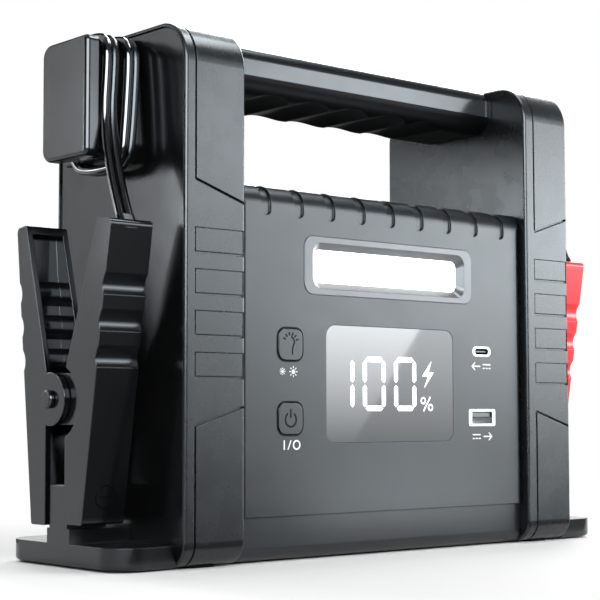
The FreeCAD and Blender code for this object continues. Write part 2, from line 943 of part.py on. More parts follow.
def lamp_parts():
    """Bezel, lens, reflector trough, board and light-emitting chips of the work lamp."""
    front = -cover_face - lamp_proud
    rim_back = -cover_face + lamp_ledge
    lens_front = front + lens_setback
    lens_back = lens_front + lens_thickness
    bezel = front_prism(rectangle(0, lamp_z, lamp_width, lamp_height, lamp_corner), front, rim_back)
    bezel = bezel.makeFillet(lamp_proud * 0.9, edges_in_plane_y(bezel, front))
    bezel = bezel.fuse(front_prism(lamp_body_outline(0.0), rim_back, lens_back)).removeSplitter()
    lens = rectangle(0, lamp_z, lens_width, lens_height, lens_corner)
    mouth = rectangle(
        0,
        lamp_z,
        lens_width + 2 * bezel_slope,
        lens_height + 2 * bezel_slope,
        lens_corner + bezel_slope / 2,
    )
    slope = Part.makeLoft(
        [outline(mouth, on_front(front)).OuterWire, outline(lens, on_front(lens_front)).OuterWire], True, True
    )
    bezel = bezel.cut(slope).cut(front_prism(lens, lens_front - 1, lens_back + 1))
    save("lamp_bezel", bezel)
    save("lamp_lens", front_prism(lens, lens_front, lens_back))
    board_front = lens_back + reflector_depth
    trough = front_prism(lamp_body_outline(0.0), lens_back, board_front)
    narrow = rectangle(
        0,
        lamp_z,
        lens_width - bezel_slope,
        lens_height - bezel_slope,
        lens_corner / 2,
    )
    hollow = Part.makeLoft(
        [outline(lens, on_front(lens_back)).OuterWire, outline(narrow, on_front(board_front)).OuterWire],
        True,
        True,
    )
    save("lamp_reflector", trough.cut(hollow))
    save("lamp_board", front_prism(lamp_body_outline(0.0), board_front, board_front + lamp_board_thickness))
    chips = []
    for i in range(led_count):
        x = led_pitch * (i - (led_count - 1) / 2)
        square = rectangle(x, lamp_z, led_size, led_size)
        chips.append(front_prism(square, board_front - led_height, board_front))
    save("lamp_leds", group(chips))


def control_board_parts():
    """Board behind the controls and its four screws."""
    plate = rectangle(0, board_z, board_width, board_height, board_post_radius)
    board = front_prism(plate, -board_face, -board_face + board_thickness)
    screws = []
    for x, z in board_post_places():
        board = board.cut(screw_hole(vector(x, -board_face - 1, z), vector(0, 1, 0), board_thickness + 2))
        seat = vector(x, -board_face + board_thickness, z)
        screws.append(screw(seat, vector(0, -1, 0), board_standoff / 2))
    save("control_board", board)
    save("board_screws", group(screws))


def battery_parts():
    """Flat cells in a tray on the rear cover, the relay above them and the bars to both leads."""
    depth = cell_count * (cell_thickness + cell_gap) + cell_gap
    back = cover_inner - tray_wall
    front = back - depth
    half = cell_width / 2 + cell_gap
    low = tray_bottom_z + tray_wall
    high = tray_top_z() - tray_wall
    tray = box(-half - tray_wall, half + tray_wall, front, cover_inner, tray_bottom_z, tray_top_z())
    tray = tray.cut(box(-half, half, front - 1, back, low, high))
    save("battery_tray", tray)
    cells = []
    for i in range(cell_count):
        y = back - (i + 1) * (cell_thickness + cell_gap)
        cell = plan_prism(
            rectangle(0, y + cell_thickness / 2, cell_width, cell_thickness, cell_thickness / 3),
            low,
            high - cell_gap,
        )
        cells.append(cell)
    save("battery_cells", group(cells))
    relay_y = gland_y
    relay = box(
        -relay_width / 2,
        relay_width / 2,
        relay_y - relay_depth / 2,
        relay_y + relay_depth / 2,
        tray_top_z(),
        tray_top_z() + relay_height,
    )
    save("power_relay", relay)
    bar_low = busbar_z()
    end_x = panel_back_x - gland_shank_length + side_panel_thickness
    flat = box(
        relay_width / 2,
        end_x,
        gland_y - busbar_thickness / 2,
        gland_y + busbar_thickness / 2,
        bar_low,
        bar_low + busbar_height,
    )
    upright = box(
        end_x - busbar_thickness,
        end_x,
        gland_y - terminal_width / 2,
        gland_y + terminal_width / 2,
        bar_low,
        gland_z() + terminal_width / 2,
    )
    bar = flat.fuse(upright).removeSplitter()
    save("busbars", group([bar, mirrored(bar)]))


def gland_z():
    """Middle height of the gland that the leads come out of."""
    return (gland_bottom_z + gland_top_z) / 2


def hook_parts():
    """Neck and cap of the right hook, and the screws of both hooks."""
    outer = rectangle(0, hook_z, neck_width, hook_height, neck_corner)
    inner = rectangle(
        0, hook_z, neck_width - 2 * neck_wall, hook_height - 2 * neck_wall, neck_corner - neck_wall
    )
    neck = side_prism(outer, panel_face_x, neck_end_x)
    neck = neck.cut(side_prism(inner, panel_face_x - 1, neck_end_x - neck_wall))
    outward = vector(1, 0, 0)
    screws = []
    for z in hook_screw_places():
        post = rod(vector(panel_face_x, 0, z), outward, neck_length - neck_wall / 2, boss_radius)
        hole = rod(vector(panel_face_x - 1, 0, z), outward, hook_screw_bite + 2, screw_radius)
        neck = neck.fuse(post).cut(hole)
        seat = vector(panel_back_x, 0, z)
        screws.append(screw(seat, outward, side_panel_thickness + hook_screw_bite))
    save_pair("hook_neck", neck.removeSplitter())
    half = cap_width / 2
    low = hook_bottom_z - cap_margin
    high = hook_bottom_z + hook_height + cap_margin
    cap = side_prism(
        [(-half, low, cap_front_radius), (half, low, cap_back_radius),
         (half, high, cap_back_radius), (-half, high, cap_front_radius)],
        neck_end_x,
        cap_end_x,
    )
    cap = cap.makeFillet(cap_edge_radius, outer_rim_edges(cap, cap_end_x))
    save_pair("hook_cap", cap)
    screws += [mirrored(one) for one in screws]
    save("hook_screws", group(screws))


def tangent_path(points):
    """Straight runs through points, joined by arcs of 0.45 of the shorter run at each inner point."""
    edges = []
    here = points[0]
    for i in range(1, len(points) - 1):
        corner = points[i]
        run_before = corner.distanceToPoint(points[i - 1])
        run_after = corner.distanceToPoint(points[i + 1])
        reach = 0.45 * min(run_before, run_after)
        to_before = (points[i - 1] - corner).normalize()
        to_after = (points[i + 1] - corner).normalize()
        half = to_before.getAngle(to_after) / 2
        radius = reach * math.tan(half)
        bisector = (to_before + to_after).normalize()
        middle = corner + bisector * (radius / math.sin(half) - radius)
        start = corner + to_before * reach
        end = corner + to_after * reach
        edges.append(Part.LineSegment(here, start).toShape())
        edges.append(Part.Arc(start, middle, end).toShape())
        print("lead arc radius", round(radius, 1))
        here = end
    edges.append(Part.LineSegment(here, points[-1]).toShape())
    return edges


def arc_at_corner(start, corner, end):
    """Arc from start to end that is tangent to both lines through the corner."""
    chord_middle = (start + end) * 0.5
    half_chord = start.distanceToPoint(end) / 2
    height = corner.distanceToPoint(chord_middle)
    side = corner.distanceToPoint(start)
    radius = side * half_chord / height
    to_centre = (chord_middle - corner).normalize()
    middle = corner + to_centre * (side * side / height - radius)
    return Part.Arc(start, middle, end).toShape()


def biarc(start, start_direction, end, end_direction):
    """Two arcs that join smoothly and leave and arrive along the given directions."""
    gap = end - start
    both = start_direction + end_direction
    a = 4 - both.dot(both)
    b = 2 * gap.dot(both)
    c = -gap.dot(gap)
    reach = (-b + math.sqrt(b * b - 4 * a * c)) / (2 * a)
    first = start + start_direction * reach
    second = end - end_direction * reach
    join = (first + second) * 0.5
    return [arc_at_corner(start, first, join), arc_at_corner(join, second, end)]


def tube(edges, diameter, name):
    """Unbroken round tube along a path, with its volume held against section times length."""
    wire = Part.Wire(edges)
    start = edges[0].valueAt(edges[0].FirstParameter)
    direction = edges[0].tangentAt(edges[0].FirstParameter)
    section = Part.Wire([Part.makeCircle(diameter / 2, start, direction)])
    solid = wire.makePipeShell([section], True, False)
    expected = math.pi * diameter ** 2 / 4 * wire.Length
    print(name, "length", round(wire.Length, 1), "volume over section times length",
          round(solid.Volume / expected, 4))
    return solid


def path_samples(edges, spacing):
    """Points along a path, a steady distance apart."""
    points = []
    for edge in edges:
        count = max(2, int(edge.Length / spacing))
        first = edge.FirstParameter
        last = edge.LastParameter
        for i in range(count):
            points.append(edge.valueAt(first + (last - first) * i / count))
    return points


def least_gap(edges, diameter, other=None):
    """Least space between a tube's turns, or between it and another tube, measured on points."""
    spacing = 1.0
    points = path_samples(edges, spacing)
    targets = path_samples(other, spacing) if other else points
    skip = 0 if other else int(4 * diameter / spacing)
    least = 1e9
    for i, point in enumerate(points):
        for j, target in enumerate(targets):
            if other is None and j <= i + skip:
                continue
            least = min(least, point.distanceToPoint(target))
    return round(least - diameter, 2)


def clamp_top(x):
    """Middle of the top of the clamp's front arm."""
    y = (front_arm_top_outer[0] + front_arm_top_inner[0]) / 2
    z = (front_arm_top_outer[1] + front_arm_top_inner[1]) / 2
    return vector(x, y, z)


def lead_end(x):
    """Where a lead ends, on the grommet that stands out of the clamp's top."""
    return clamp_top(x) - lead_direction() * (grommet_rise + lead_end_gap)


def lead_route(offset, clamp_inset):
    """Route of one cord on the right side: out of the gland, round the neck, then down to the clamp."""
    x = panel_face_x + lead_wall_gap + lead_diameter / 2 + offset
    top = hook_bottom_z + hook_height + lead_top_gap + lead_diameter / 2
    bottom = hook_bottom_z - lead_low_gap - lead_diameter / 2
    side = lead_side_y
    flat = side - lead_turn_radius
    high = top - lead_turn_radius
    low = bottom + lead_turn_radius
    quarter = lead_turn_radius * math.pi / 2
    slope = lead_turn_advance / (2 * (high - low) + 4 * flat + 4 * quarter)
    forward = vector(0, -1, 0)
    start = vector(x, gland_y, gland_top_z)
    risen = vector(x, gland_y, gland_top_z + lead_rise)
    over_back = vector(x, flat, top)
    over_front = vector(x, -flat, top)
    here = vector(x, -side, high)
    heading = vector(slope, 0, -1).normalize()
    edges = [Part.LineSegment(start, risen).toShape()]
    edges += biarc(risen, vector(0, 0, 1), over_back, forward)
    edges.append(Part.LineSegment(over_back, over_front).toShape())
    edges += biarc(over_front, forward, here, heading)
    corners = [(-side, low, -flat, bottom), (flat, bottom, side, low), (side, high, flat, top),
               (-flat, top, -side, high)]
    for y, z, turned_y, turned_z in corners:
        run = abs(y - here.y) + abs(z - here.z)
        straight_end = vector(here.x + slope * run, y, z)
        edges.append(Part.LineSegment(here, straight_end).toShape())
        turned = vector(straight_end.x + slope * quarter, turned_y, turned_z)
        turn_y = turned_y - y
        turn_z = turned_z - z
        if abs(heading.z) > abs(heading.y):
            next_heading = vector(slope, math.copysign(1, turn_y), 0).normalize()
        else:
            next_heading = vector(slope, 0, math.copysign(1, turn_z)).normalize()
        edges += biarc(straight_end, heading, turned, next_heading)
        here = turned
        heading = next_heading
    end = lead_end((clamp_outer_x + clamp_inner_x) / 2 + offset - lead_spacing / 2 - clamp_inset)
    leave = vector(here.x + slope * (here.z - lead_leave_z), -side, lead_leave_z)
    edges += tangent_path([here, leave, end])
    return edges


def lead_direction():
    """Direction in which a lead enters its clamp."""
    return (clamp_top(0) - vector(0, -lead_side_y, lead_leave_z)).normalize()


def lead_parts():
    """Glands, leads and the grommets at the clamps."""
    for side, clamp_inset in (("left", 0.0), ("right", right_clamp_inset)):
        inner = lead_route(0.0, clamp_inset)
        outer = lead_route(lead_spacing, clamp_inset)
        print(side, "least gap of a lead to itself", least_gap(inner, lead_diameter))
        print(side, "least gap between the leads", least_gap(inner, lead_diameter, outer))
        place = mirrored if side == "left" else Part.Shape.copy
        save(side + "_lead_inner", place(tube(inner, lead_diameter, side + " inner lead")))
        save(side + "_lead_outer", place(tube(outer, lead_diameter, side + " outer lead")))
    block = box(
        panel_face_x,
        panel_face_x + gland_thickness,
        gland_y - gland_depth / 2,
        gland_y + gland_depth / 2,
        gland_bottom_z,
        gland_top_z,
    )
    block = block.makeFillet(pillar_edge_radius, outer_rim_edges(block, panel_face_x + gland_thickness))
    inward = vector(-1, 0, 0)
    shank_radius = gland_shank_radius - gland_fit
    shank = rod(vector(panel_face_x, gland_y, gland_z()), inward, gland_shank_length, shank_radius)
    save_pair("lead_gland", block.fuse(shank).removeSplitter())
    save("clamp_grommets", clamp_group(grommet()))


def grommet():
    """Plug in the top of the right clamp that both cords end in."""
    middle = (clamp_outer_x + clamp_inner_x) / 2
    width = lead_spacing + lead_diameter + 2 * side_panel_gap
    depth = lead_diameter + 2 * side_panel_gap
    plan = rectangle(0, 0, width, depth, depth * 0.499)
    plug = plan_prism(plan, -grommet_length, grommet_rise)
    turn = math.degrees(vector(0, 0, -1).getAngle(lead_direction()))
    plug.rotate(vector(0, 0, 0), vector(-1, 0, 0), turn)
    plug.translate(clamp_top(middle))
    return plug


def grip_face(z):
    """Where the front face of the clamp's front arm lies at a height."""
    low_y, low_z = front_arm_foot
    high_y, high_z = front_arm_top_outer
    return low_y + (high_y - low_y) * (z - low_z) / (high_z - low_z)


def back_face(z):
    """Where the back face of the clamp's back arm lies at a height."""
    low_y, low_z = back_arm_foot
    high_y, high_z = back_arm_top_outer
    return low_y + (high_y - low_y) * (z - low_z) / (high_z - low_z)


def grip_groove_radius():
    """Radius of the round grooves that the fingers hold."""
    return (grip_groove_chord ** 2 / 4 + grip_groove_depth ** 2) / (2 * grip_groove_depth)


def grip_groove_places():
    """Heights of the middles of the grip grooves."""
    top = grip_groove_top_z - grip_groove_chord / 2
    return [top - i * grip_groove_pitch for i in range(grip_groove_count)]


def front_arm():
    """Front arm of the right clamp: a channel that is open to the back, with two ears for the pin."""
    foot_y, foot_z = front_arm_foot
    profile = [
        (front_jaw_y, foot_z, arm_small_radius),
        (front_jaw_y, front_arm_crotch[1] - 2 * ring_radius, 0.0),
        (*front_arm_crotch, arm_small_radius),
        (*front_arm_top_inner, arm_small_radius),
        (*front_arm_top_outer, arm_top_radius),
        (foot_y, foot_z, arm_small_radius),
    ]
    arm = side_prism(profile, clamp_inner_x, clamp_outer_x)
    inner_foot = foot_z + clamp_wall
    inner_top = front_arm_top_outer[1] - clamp_wall
    channel = [
        (grip_face(inner_foot) + clamp_wall, inner_foot, 0.0),
        (back_boss_radius, inner_foot, 0.0),
        (back_boss_radius, inner_top, 0.0),
        (grip_face(inner_top) + clamp_wall, inner_top, 0.0),
    ]
    arm = arm.cut(side_prism(channel, cheek_inner_x, cheek_outer_x))
    ear_low = pivot_z - ear_radius
    ear_high = pivot_z + ear_radius
    ear_profile = [
        (grip_face(ear_low) + clamp_wall / 2, ear_low, 0.0),
        (pivot_y, ear_low, 0.0),
        (pivot_y, ear_high, 0.0),
        (grip_face(ear_high) + clamp_wall / 2, ear_high, 0.0),
    ]
    ears = [(cheek_inner_x, ear_inner_x + clamp_wall), (ear_outer_x - clamp_wall, cheek_outer_x)]
    for low_x, high_x in ears:
        plate = side_prism(ear_profile, low_x, high_x)
        disc = rod(vector(low_x, pivot_y, pivot_z), vector(1, 0, 0), high_x - low_x, ear_radius)
        arm = arm.fuse([plate, disc])
    ring_start = vector(ear_outer_x, ring_y, ring_z)
    arm = arm.cut(rod(ring_start, vector(1, 0, 0), clamp_width, ring_radius))
    ring_start = vector(ear_inner_x, ring_y, ring_z)
    arm = arm.cut(rod(ring_start, vector(-1, 0, 0), clamp_width, ring_radius))
    beside = box(
        0, clamp_outer_x * 2, front_jaw_y, pillar_depth, foot_z, pillar_height
    )
    middle = box(ear_inner_x, ear_outer_x, front_jaw_y, pillar_depth, foot_z, pillar_height)
    arm = arm.cut(beside.cut(middle))
    radius = grip_groove_radius()
    for z in grip_groove_places():
        centre = vector(clamp_inner_x - 1, grip_face(z) + grip_groove_depth - radius, z)
        arm = arm.cut(rod(centre, vector(1, 0, 0), clamp_width + 2, radius))
    pin_start = vector(clamp_inner_x - 1, pivot_y, pivot_z)
    arm = arm.cut(rod(pin_start, vector(1, 0, 0), clamp_width + 2, pin_radius + pin_fit))
    return arm.cut(grommet()).removeSplitter()


def back_arm():
    """Back arm of the right clamp: a channel that is open to the front, with a boss at the pin."""
    foot_y, foot_z = back_arm_foot
    profile = [
        (back_jaw_y, foot_z, arm_small_radius),
        (foot_y, foot_z, arm_small_radius),
        (*back_arm_top_outer, arm_top_radius),
        (*back_arm_top_inner, arm_small_radius),
        (*back_arm_crotch, 0.0),
        (back_jaw_y, pivot_z - back_boss_radius, 0.0),
    ]
    arm = side_prism(profile, clamp_inner_x, clamp_outer_x)
    boss_start = vector(clamp_inner_x, pivot_y, pivot_z)
    arm = arm.fuse(rod(boss_start, vector(1, 0, 0), clamp_width, back_boss_radius))
    inner_foot = foot_z + clamp_wall
    inner_top = back_arm_top_outer[1] - clamp_wall
    channel = [
        (pivot_y - 2 * back_boss_radius, inner_foot, 0.0),
        (back_face(inner_foot) - clamp_wall, inner_foot, 0.0),
        (back_face(inner_top) - clamp_wall, inner_top, 0.0),
        (pivot_y - 2 * back_boss_radius, inner_top, 0.0),
    ]
    channel = side_prism(channel, cheek_inner_x, cheek_outer_x)
    radius = grip_groove_radius()
    centres = []
    for z in grip_groove_places():
        centres.append(vector(clamp_inner_x - 1, back_face(z) - grip_groove_depth + radius, z))
    outward = vector(1, 0, 0)
    channel = channel.cut([rod(centre, outward, clamp_width + 2, radius + clamp_wall) for centre in centres])
    arm = arm.cut(channel)
    arm = arm.cut([rod(centre, outward, clamp_width + 2, radius) for centre in centres])
    pin_start = vector(clamp_inner_x - 1, pivot_y, pivot_z)
    arm = arm.cut(rod(pin_start, vector(1, 0, 0), clamp_width + 2, pin_radius + pin_running))
    return arm.removeSplitter()


def clamp_pin():
    """Pin of the right clamp, with a head outside and a smaller one inside."""
    outward = vector(1, 0, 0)
    tail_x = clamp_inner_x - pin_tail_height - clamp_gap
    head_x = clamp_outer_x + clamp_gap
    shank = rod(vector(tail_x, pivot_y, pivot_z), outward, head_x - tail_x, pin_radius)
    head = rod(vector(head_x, pivot_y, pivot_z), outward, pin_head_height, pin_head_radius)
    head = head.makeFillet(pin_head_height / 2, outer_rim_edges(head, head_x + pin_head_height))
    tail = rod(vector(tail_x, pivot_y, pivot_z), outward, pin_tail_height, pin_head_radius)
    return shank.fuse([head, tail]).removeSplitter()


def contact(tip_y, away, foot_z):
    """Toothed strip whose teeth point at the post; away is the direction from the tips to the arm."""
    low = foot_z + clamp_wall + contact_base_gap
    step = contact_height / tooth_count
    points = [(tip_y + away * (tooth_height + contact_thickness), low, 0.0)]
    for i in range(tooth_count):
        points.append((tip_y + away * tooth_height, low + i * step, 0.0))
        points.append((tip_y, low + (i + 0.5) * step, 0.0))
    points.append((tip_y + away * tooth_height, low + contact_height, 0.0))
    points.append((tip_y + away * (tooth_height + contact_thickness), low + contact_height, 0.0))
    return side_prism(points, cheek_inner_x, cheek_outer_x)


def spring_edges():
    """Path of the torsion spring: a leg from the front arm, the coil and a leg towards the back arm."""
    start_angle = math.radians(spring_front_leg_angle + 90)
    leg_angle = spring_back_leg_angle + open_angle
    end_angle = math.radians(leg_angle - 90 + 360 * (spring_full_turns + 1))
    turned = end_angle - start_angle
    steps = round(turned / (math.pi / 2))
    slope = spring_pitch / (2 * math.pi * spring_radius)
    x_low = (clamp_outer_x + clamp_inner_x) / 2 - spring_pitch * turned / (4 * math.pi)

    def point(angle):
        advance = x_low + spring_pitch * (angle - start_angle) / (2 * math.pi)
        y = pivot_y + spring_radius * math.cos(angle)
        z = pivot_z + spring_radius * math.sin(angle)
        return vector(advance, y, z)

    def direction(angle):
        return vector(slope, -math.sin(angle), math.cos(angle)).normalize()

    def leg_direction(angle):
        return vector(0, -math.sin(angle), math.cos(angle))

    first = point(start_angle)
    edges = [Part.LineSegment(first - leg_direction(start_angle) * spring_front_leg, first).toShape()]
    for i in range(steps):
        a = start_angle + turned * i / steps
        b = start_angle + turned * (i + 1) / steps
        leave = leg_direction(a) if i == 0 else direction(a)
        arrive = leg_direction(b) if i == steps - 1 else direction(b)
        edges += biarc(point(a), leave, point(b), arrive)
    last = point(end_angle)
    edges.append(Part.LineSegment(last, last + leg_direction(end_angle) * spring_back_leg).toShape())
    return edges


def clamp_parts():
    """Both clamps."""
    save_clamp_pair("clamp_front_arm", front_arm())
    save_clamp_pair("clamp_back_arm", back_arm())
    save("clamp_pins", clamp_group(clamp_pin()))
    edges = spring_edges()
    print("least gap of the spring to itself", least_gap(edges, spring_wire))
    save_clamp_pair("clamp_spring", tube(edges, spring_wire, "clamp spring"))
    tip = post_width / 2 + contact_gap_to_post
    save_clamp_pair("front_contact", contact(-tip, -1, front_arm_foot[1]))
    save_clamp_pair("back_contact", contact(tip, 1, back_arm_foot[1]))


def stand():
    """Right clamp stand: ledge with round outer corners, a low step and the post."""
    inner = panel_face_x
    half = stand_depth / 2
    ledge = plan_prism(
        [(inner, -half, 0.0), (stand_outer_x, -half, stand_corner), (stand_outer_x, half, stand_corner),
         (inner, half, 0.0)],
        foot_height,
        stand_top_z,
    )
    lower = []
    for edge in ledge.Edges:
        bounds = edge.BoundBox
        if bounds.ZMax < foot_height + 1e-4 and bounds.XMax > inner + 1e-4:
            lower.append(edge)
    ledge = ledge.makeFillet(stand_edge_radius, lower)
    step_half = stand_step_width / 2
    root_z = foot_height + stand_edge_radius
    step = box(inner, stand_outer_x, -step_half, step_half, root_z, stand_step_z)
    post_half = post_width / 2
    post = box(stand_outer_x - post_length, stand_outer_x, -post_half, post_half, root_z, post_top_z)
    top_edges = []
    for edge in post.Edges:
        if edge.BoundBox.ZMin > post_top_z - 1e-4:
            top_edges.append(edge)
    post = post.makeFillet(post_edge_radius, top_edges)
    body = ledge.fuse([step, post])
    rim = side_prism(pillar_profile(-1.0), inner - 1, side_x)
    rim = rim.cut(side_prism(pillar_profile(rim_wall + side_panel_gap), inner - 2, side_x + 1))
    body = body.cut(rim)
    for y, z in stand_screw_places():
        body = body.cut(rod(vector(inner - 1, y, z), vector(1, 0, 0), stand_screw_bite + 2, screw_radius))
    return body.removeSplitter()


def stand_screws():
    """Screws that hold both clamp stands to the side panels."""
    screws = []
    for y, z in stand_screw_places():
        seat = vector(panel_back_x, y, z)
        one = screw(seat, vector(1, 0, 0), side_panel_thickness + stand_screw_bite)
        screws.append(one)
        screws.append(mirrored(one))
    return group(screws)


os.makedirs("parts", exist_ok=True)
pillars()
save_pair("side_panel", side_panel())
save("front_cover", front_cover())
save("rear_cover", rear_cover())
save("cover_screws", cover_screws())
save("pillar_screws", pillar_screws())
save("rubber_feet", rubber_feet())
handle_parts()
display_parts()
save("light_button", button(light_button_z))
save("power_button", button(power_button_z))
save("button_switches", button_switches())
port_parts()
lamp_parts()
control_board_parts()
battery_parts()
hook_parts()
lead_parts()
clamp_parts()
save_pair("clamp_stand", stand())
save("stand_screws", stand_screws())
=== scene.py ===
import math

import bmesh
import bpy
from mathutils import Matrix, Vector


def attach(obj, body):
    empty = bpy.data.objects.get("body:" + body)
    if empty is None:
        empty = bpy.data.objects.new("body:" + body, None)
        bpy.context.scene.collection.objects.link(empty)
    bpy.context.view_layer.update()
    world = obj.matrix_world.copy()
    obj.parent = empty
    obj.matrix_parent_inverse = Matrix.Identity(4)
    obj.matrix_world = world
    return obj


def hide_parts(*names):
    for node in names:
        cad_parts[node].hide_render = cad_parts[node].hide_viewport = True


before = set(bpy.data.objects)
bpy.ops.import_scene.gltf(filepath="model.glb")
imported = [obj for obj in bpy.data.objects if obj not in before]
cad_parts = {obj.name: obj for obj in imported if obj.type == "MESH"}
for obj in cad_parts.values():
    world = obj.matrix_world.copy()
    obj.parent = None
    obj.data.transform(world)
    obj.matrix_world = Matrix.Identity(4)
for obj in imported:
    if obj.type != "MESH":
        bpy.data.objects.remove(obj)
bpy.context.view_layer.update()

# Sizes in millimetres, as in the part's source. X runs right, Y back, Z up.
MM = 0.001

# Camera of the photograph
CAMERA_PLACE = (-447.5, -500.7, 54.95)
CAMERA_AIM = (0.6522, 0.7546, 0.0729)
CAMERA_LENS = 95.3
CAMERA_ROLL = math.radians(-0.1)

# Leads: they rise from a gland, go once round the neck of the hook and down to the clamp. The first
# bend is given by points below and inside the winding's top. At the front of the winding, the inner lead
# of a pair lies a little further back than the outer one.
LEAD_DIAMETER = 3.4
LEAD_SPACING = 3.7
LEAD_X = 108.35
GLAND_Y = 21.0
GLAND_TOP_Z = 164.0
STRAIGHT_RISE = 10.0
BEND_START_DROP = 12.0
BEND_START_LEAN = 0.3
SHOULDER_DROP = 2.6
SHOULDER_LEAN = 5.0
CREST_RISE = 0.2
CREST_LEAN = 1.5
WINDING_FLAT = 6.2
WINDING_RADIUS = 9.0
WINDING_LOW_Z = 156.9
WINDING_HIGH_Z = 187.95
WINDING_ADVANCE = 9.7
WINDING_STEP = 30
INNER_SIDE_SHIFT = 0.6
LEAVE_Z = 156.0
LEAD_END = (-30.04, 126.94)
CLAMP_MIDDLE_X = 124.05
RIGHT_CLAMP_INSET = 5.0

# Both sides of the pack: the sign of X and the word in names
SIDES = ((-1, "left"), (1, "right"))

# Front cover and what lies on it
COVER_FACE = 39.6
WINDOW_FACE = 39.5
BUTTON_X = -54.0
BUTTON_FACE = 40.0
BUTTON_SIZE = 12.0
BUTTON_CORNER = 3.3
CORNER_STEPS = 6
LIGHT_BUTTON_Z = 82.25
POWER_BUTTON_Z = 54.0
BUTTON_JOINT = 1.0
JOINT_WIDTH = 0.5
POWER_LINE = 0.75
LIGHT_LINE = 0.65
SUN_SIGN_Z = 71.9
SWITCH_SIGN_Z = 44.0
PORT_X = 53.2
INPUT_SIGN_Z = 75.9
OUTPUT_SIGN_Z = 46.2
PRINT_DEPTH = 0.2
PRINT_PROUD = 0.05
PRINT_LINE = 0.55

# Lit signs on the display
SIGN_DEPTH = 0.1
SIGN_PROUD = 0.03
DIGIT_LOW_Z = 56.95
DIGIT_WIDTH = 12.5
DIGIT_BAR = 2.1
DIGIT_GAP = 0.42
PERCENT_LINE = 0.5

# Polarity marks on the front faces of the clamps: a point of the face and the face's upward direction
POLARITY_POINT = (-18.84, 26.0)
POLARITY_UP = (0.0, -0.1618, 0.9868)
POLARITY_RADIUS = 4.1
POLARITY_ARM = 2.6
POLARITY_LINE = 0.45

# Studio, in metres. The front lamps and screens share one upright plane, given by its middle on the floor
# and its rightward direction. The screens in it are split by a slanted edge, which the display mirrors.
LAMP_PLANE_MIDDLE = (0.66, -0.683)
LAMP_PLANE_RIGHT = (0.719, 0.695)
SCREENS_LEFT = -0.4
SCREENS_RIGHT = 0.4
SPLIT_Z = 0.2
SLANT_LEFT = -0.105
SLANT_LOW = (-0.081, 0.0)
SLANT_HIGH = (0.038, SPLIT_Z)
CEILING_Z = 0.92
FLOOR_RADIUS = 8.0
FADE_START = 0.26
FADE_END = 0.7

SCREEN_TINT = (0.93, 0.97, 1.0)
BLACK = (0.0, 0.0, 0.0)
WHITE = (1.0, 1.0, 1.0, 1.0)

# Plastics: how far colour and gloss vary, and the sizes of flow marks, gloss patches and waves
PLASTIC_IOR = 1.52
PLASTIC_TINT = (0.9, 0.96, 1.0)
COLOUR_LOW = 0.86
COLOUR_HIGH = 1.18
GLOSS_LOW = 0.92
GLOSS_HIGH = 1.08
FLOW_SIZE = 26.0
PATCH_SIZE = 9.0
WAVE_SIZE = 35.0
WAVE_DEPTH = 0.05


def at(x, y, z):
    """Point given in millimetres, in metres."""
    return Vector((x, y, z)) * MM


# Materials


class Paint:
    """A material under construction, with short calls for its nodes."""

    def __init__(self, name):
        self.material = bpy.data.materials.new(name)
        self.material.use_nodes = True
        self.tree = self.material.node_tree
        self.shader = self.tree.nodes["Principled BSDF"]
        self.place = self.tree.nodes.new("ShaderNodeTexCoord").outputs["Object"]

    def set(self, **values):
        """Constant values on the shader's own sockets."""
        for name, value in values.items():
            socket = self.shader.inputs[name.replace("_", " ")]
            socket.default_value = (*value, 1.0) if isinstance(value, tuple) else value

    def join(self, output, socket):
        """A link to a socket of the shader."""
        self.tree.links.new(output, self.shader.inputs[socket])

    def noise(self, size, detail=2.0, stretch=None):
        """Noise whose features measure about the given size in millimetres."""
        texture = self.tree.nodes.new("ShaderNodeTexNoise")
        texture.inputs["Scale"].default_value = 1.0 / (size * MM)
        texture.inputs["Detail"].default_value = detail
        source = self.place
        if stretch:
            mapping = self.tree.nodes.new("ShaderNodeMapping")
            mapping.inputs["Scale"].default_value = stretch
            self.tree.links.new(source, mapping.inputs["Vector"])
            source = mapping.outputs["Vector"]
        self.tree.links.new(source, texture.inputs["Vector"])
        return texture.outputs["Fac"]

    def edge(self, radius):
        """Slightly rounded look of sharp edges, with the radius in millimetres."""
        node = self.tree.nodes.new("ShaderNodeBevel")
        node.samples = 6
        node.inputs["Radius"].default_value = radius * MM
        return node.outputs["Normal"]

    def spread(self, source, low, high, low_in=0.3, high_in=0.7):
        """The source mapped to low and high, from the usual reach of noise unless another is given."""
        node = self.tree.nodes.new("ShaderNodeMapRange")
        node.inputs["From Min"].default_value = low_in
        node.inputs["From Max"].default_value = high_in
        node.inputs["To Min"].default_value = low
        node.inputs["To Max"].default_value = high
        self.tree.links.new(source, node.inputs["Value"])
        return node.outputs["Result"]

    def blend(self, factor, first, second):
        """Colour between two colours."""
        node = self.tree.nodes.new("ShaderNodeMix")
        node.data_type = "RGBA"
        node.inputs["A"].default_value = (*first, 1.0)
        node.inputs["B"].default_value = (*second, 1.0)
        self.tree.links.new(factor, node.inputs["Factor"])
        return node.outputs["Result"]

    def relief(self, height, depth, under=None):
        """Bump of the given depth in millimetres, over another one where that is given."""
        node = self.tree.nodes.new("ShaderNodeBump")
        node.inputs["Distance"].default_value = depth * MM
        self.tree.links.new(height, node.inputs["Height"])
        if under:
            self.tree.links.new(under, node.inputs["Normal"])
        return node.outputs["Normal"]


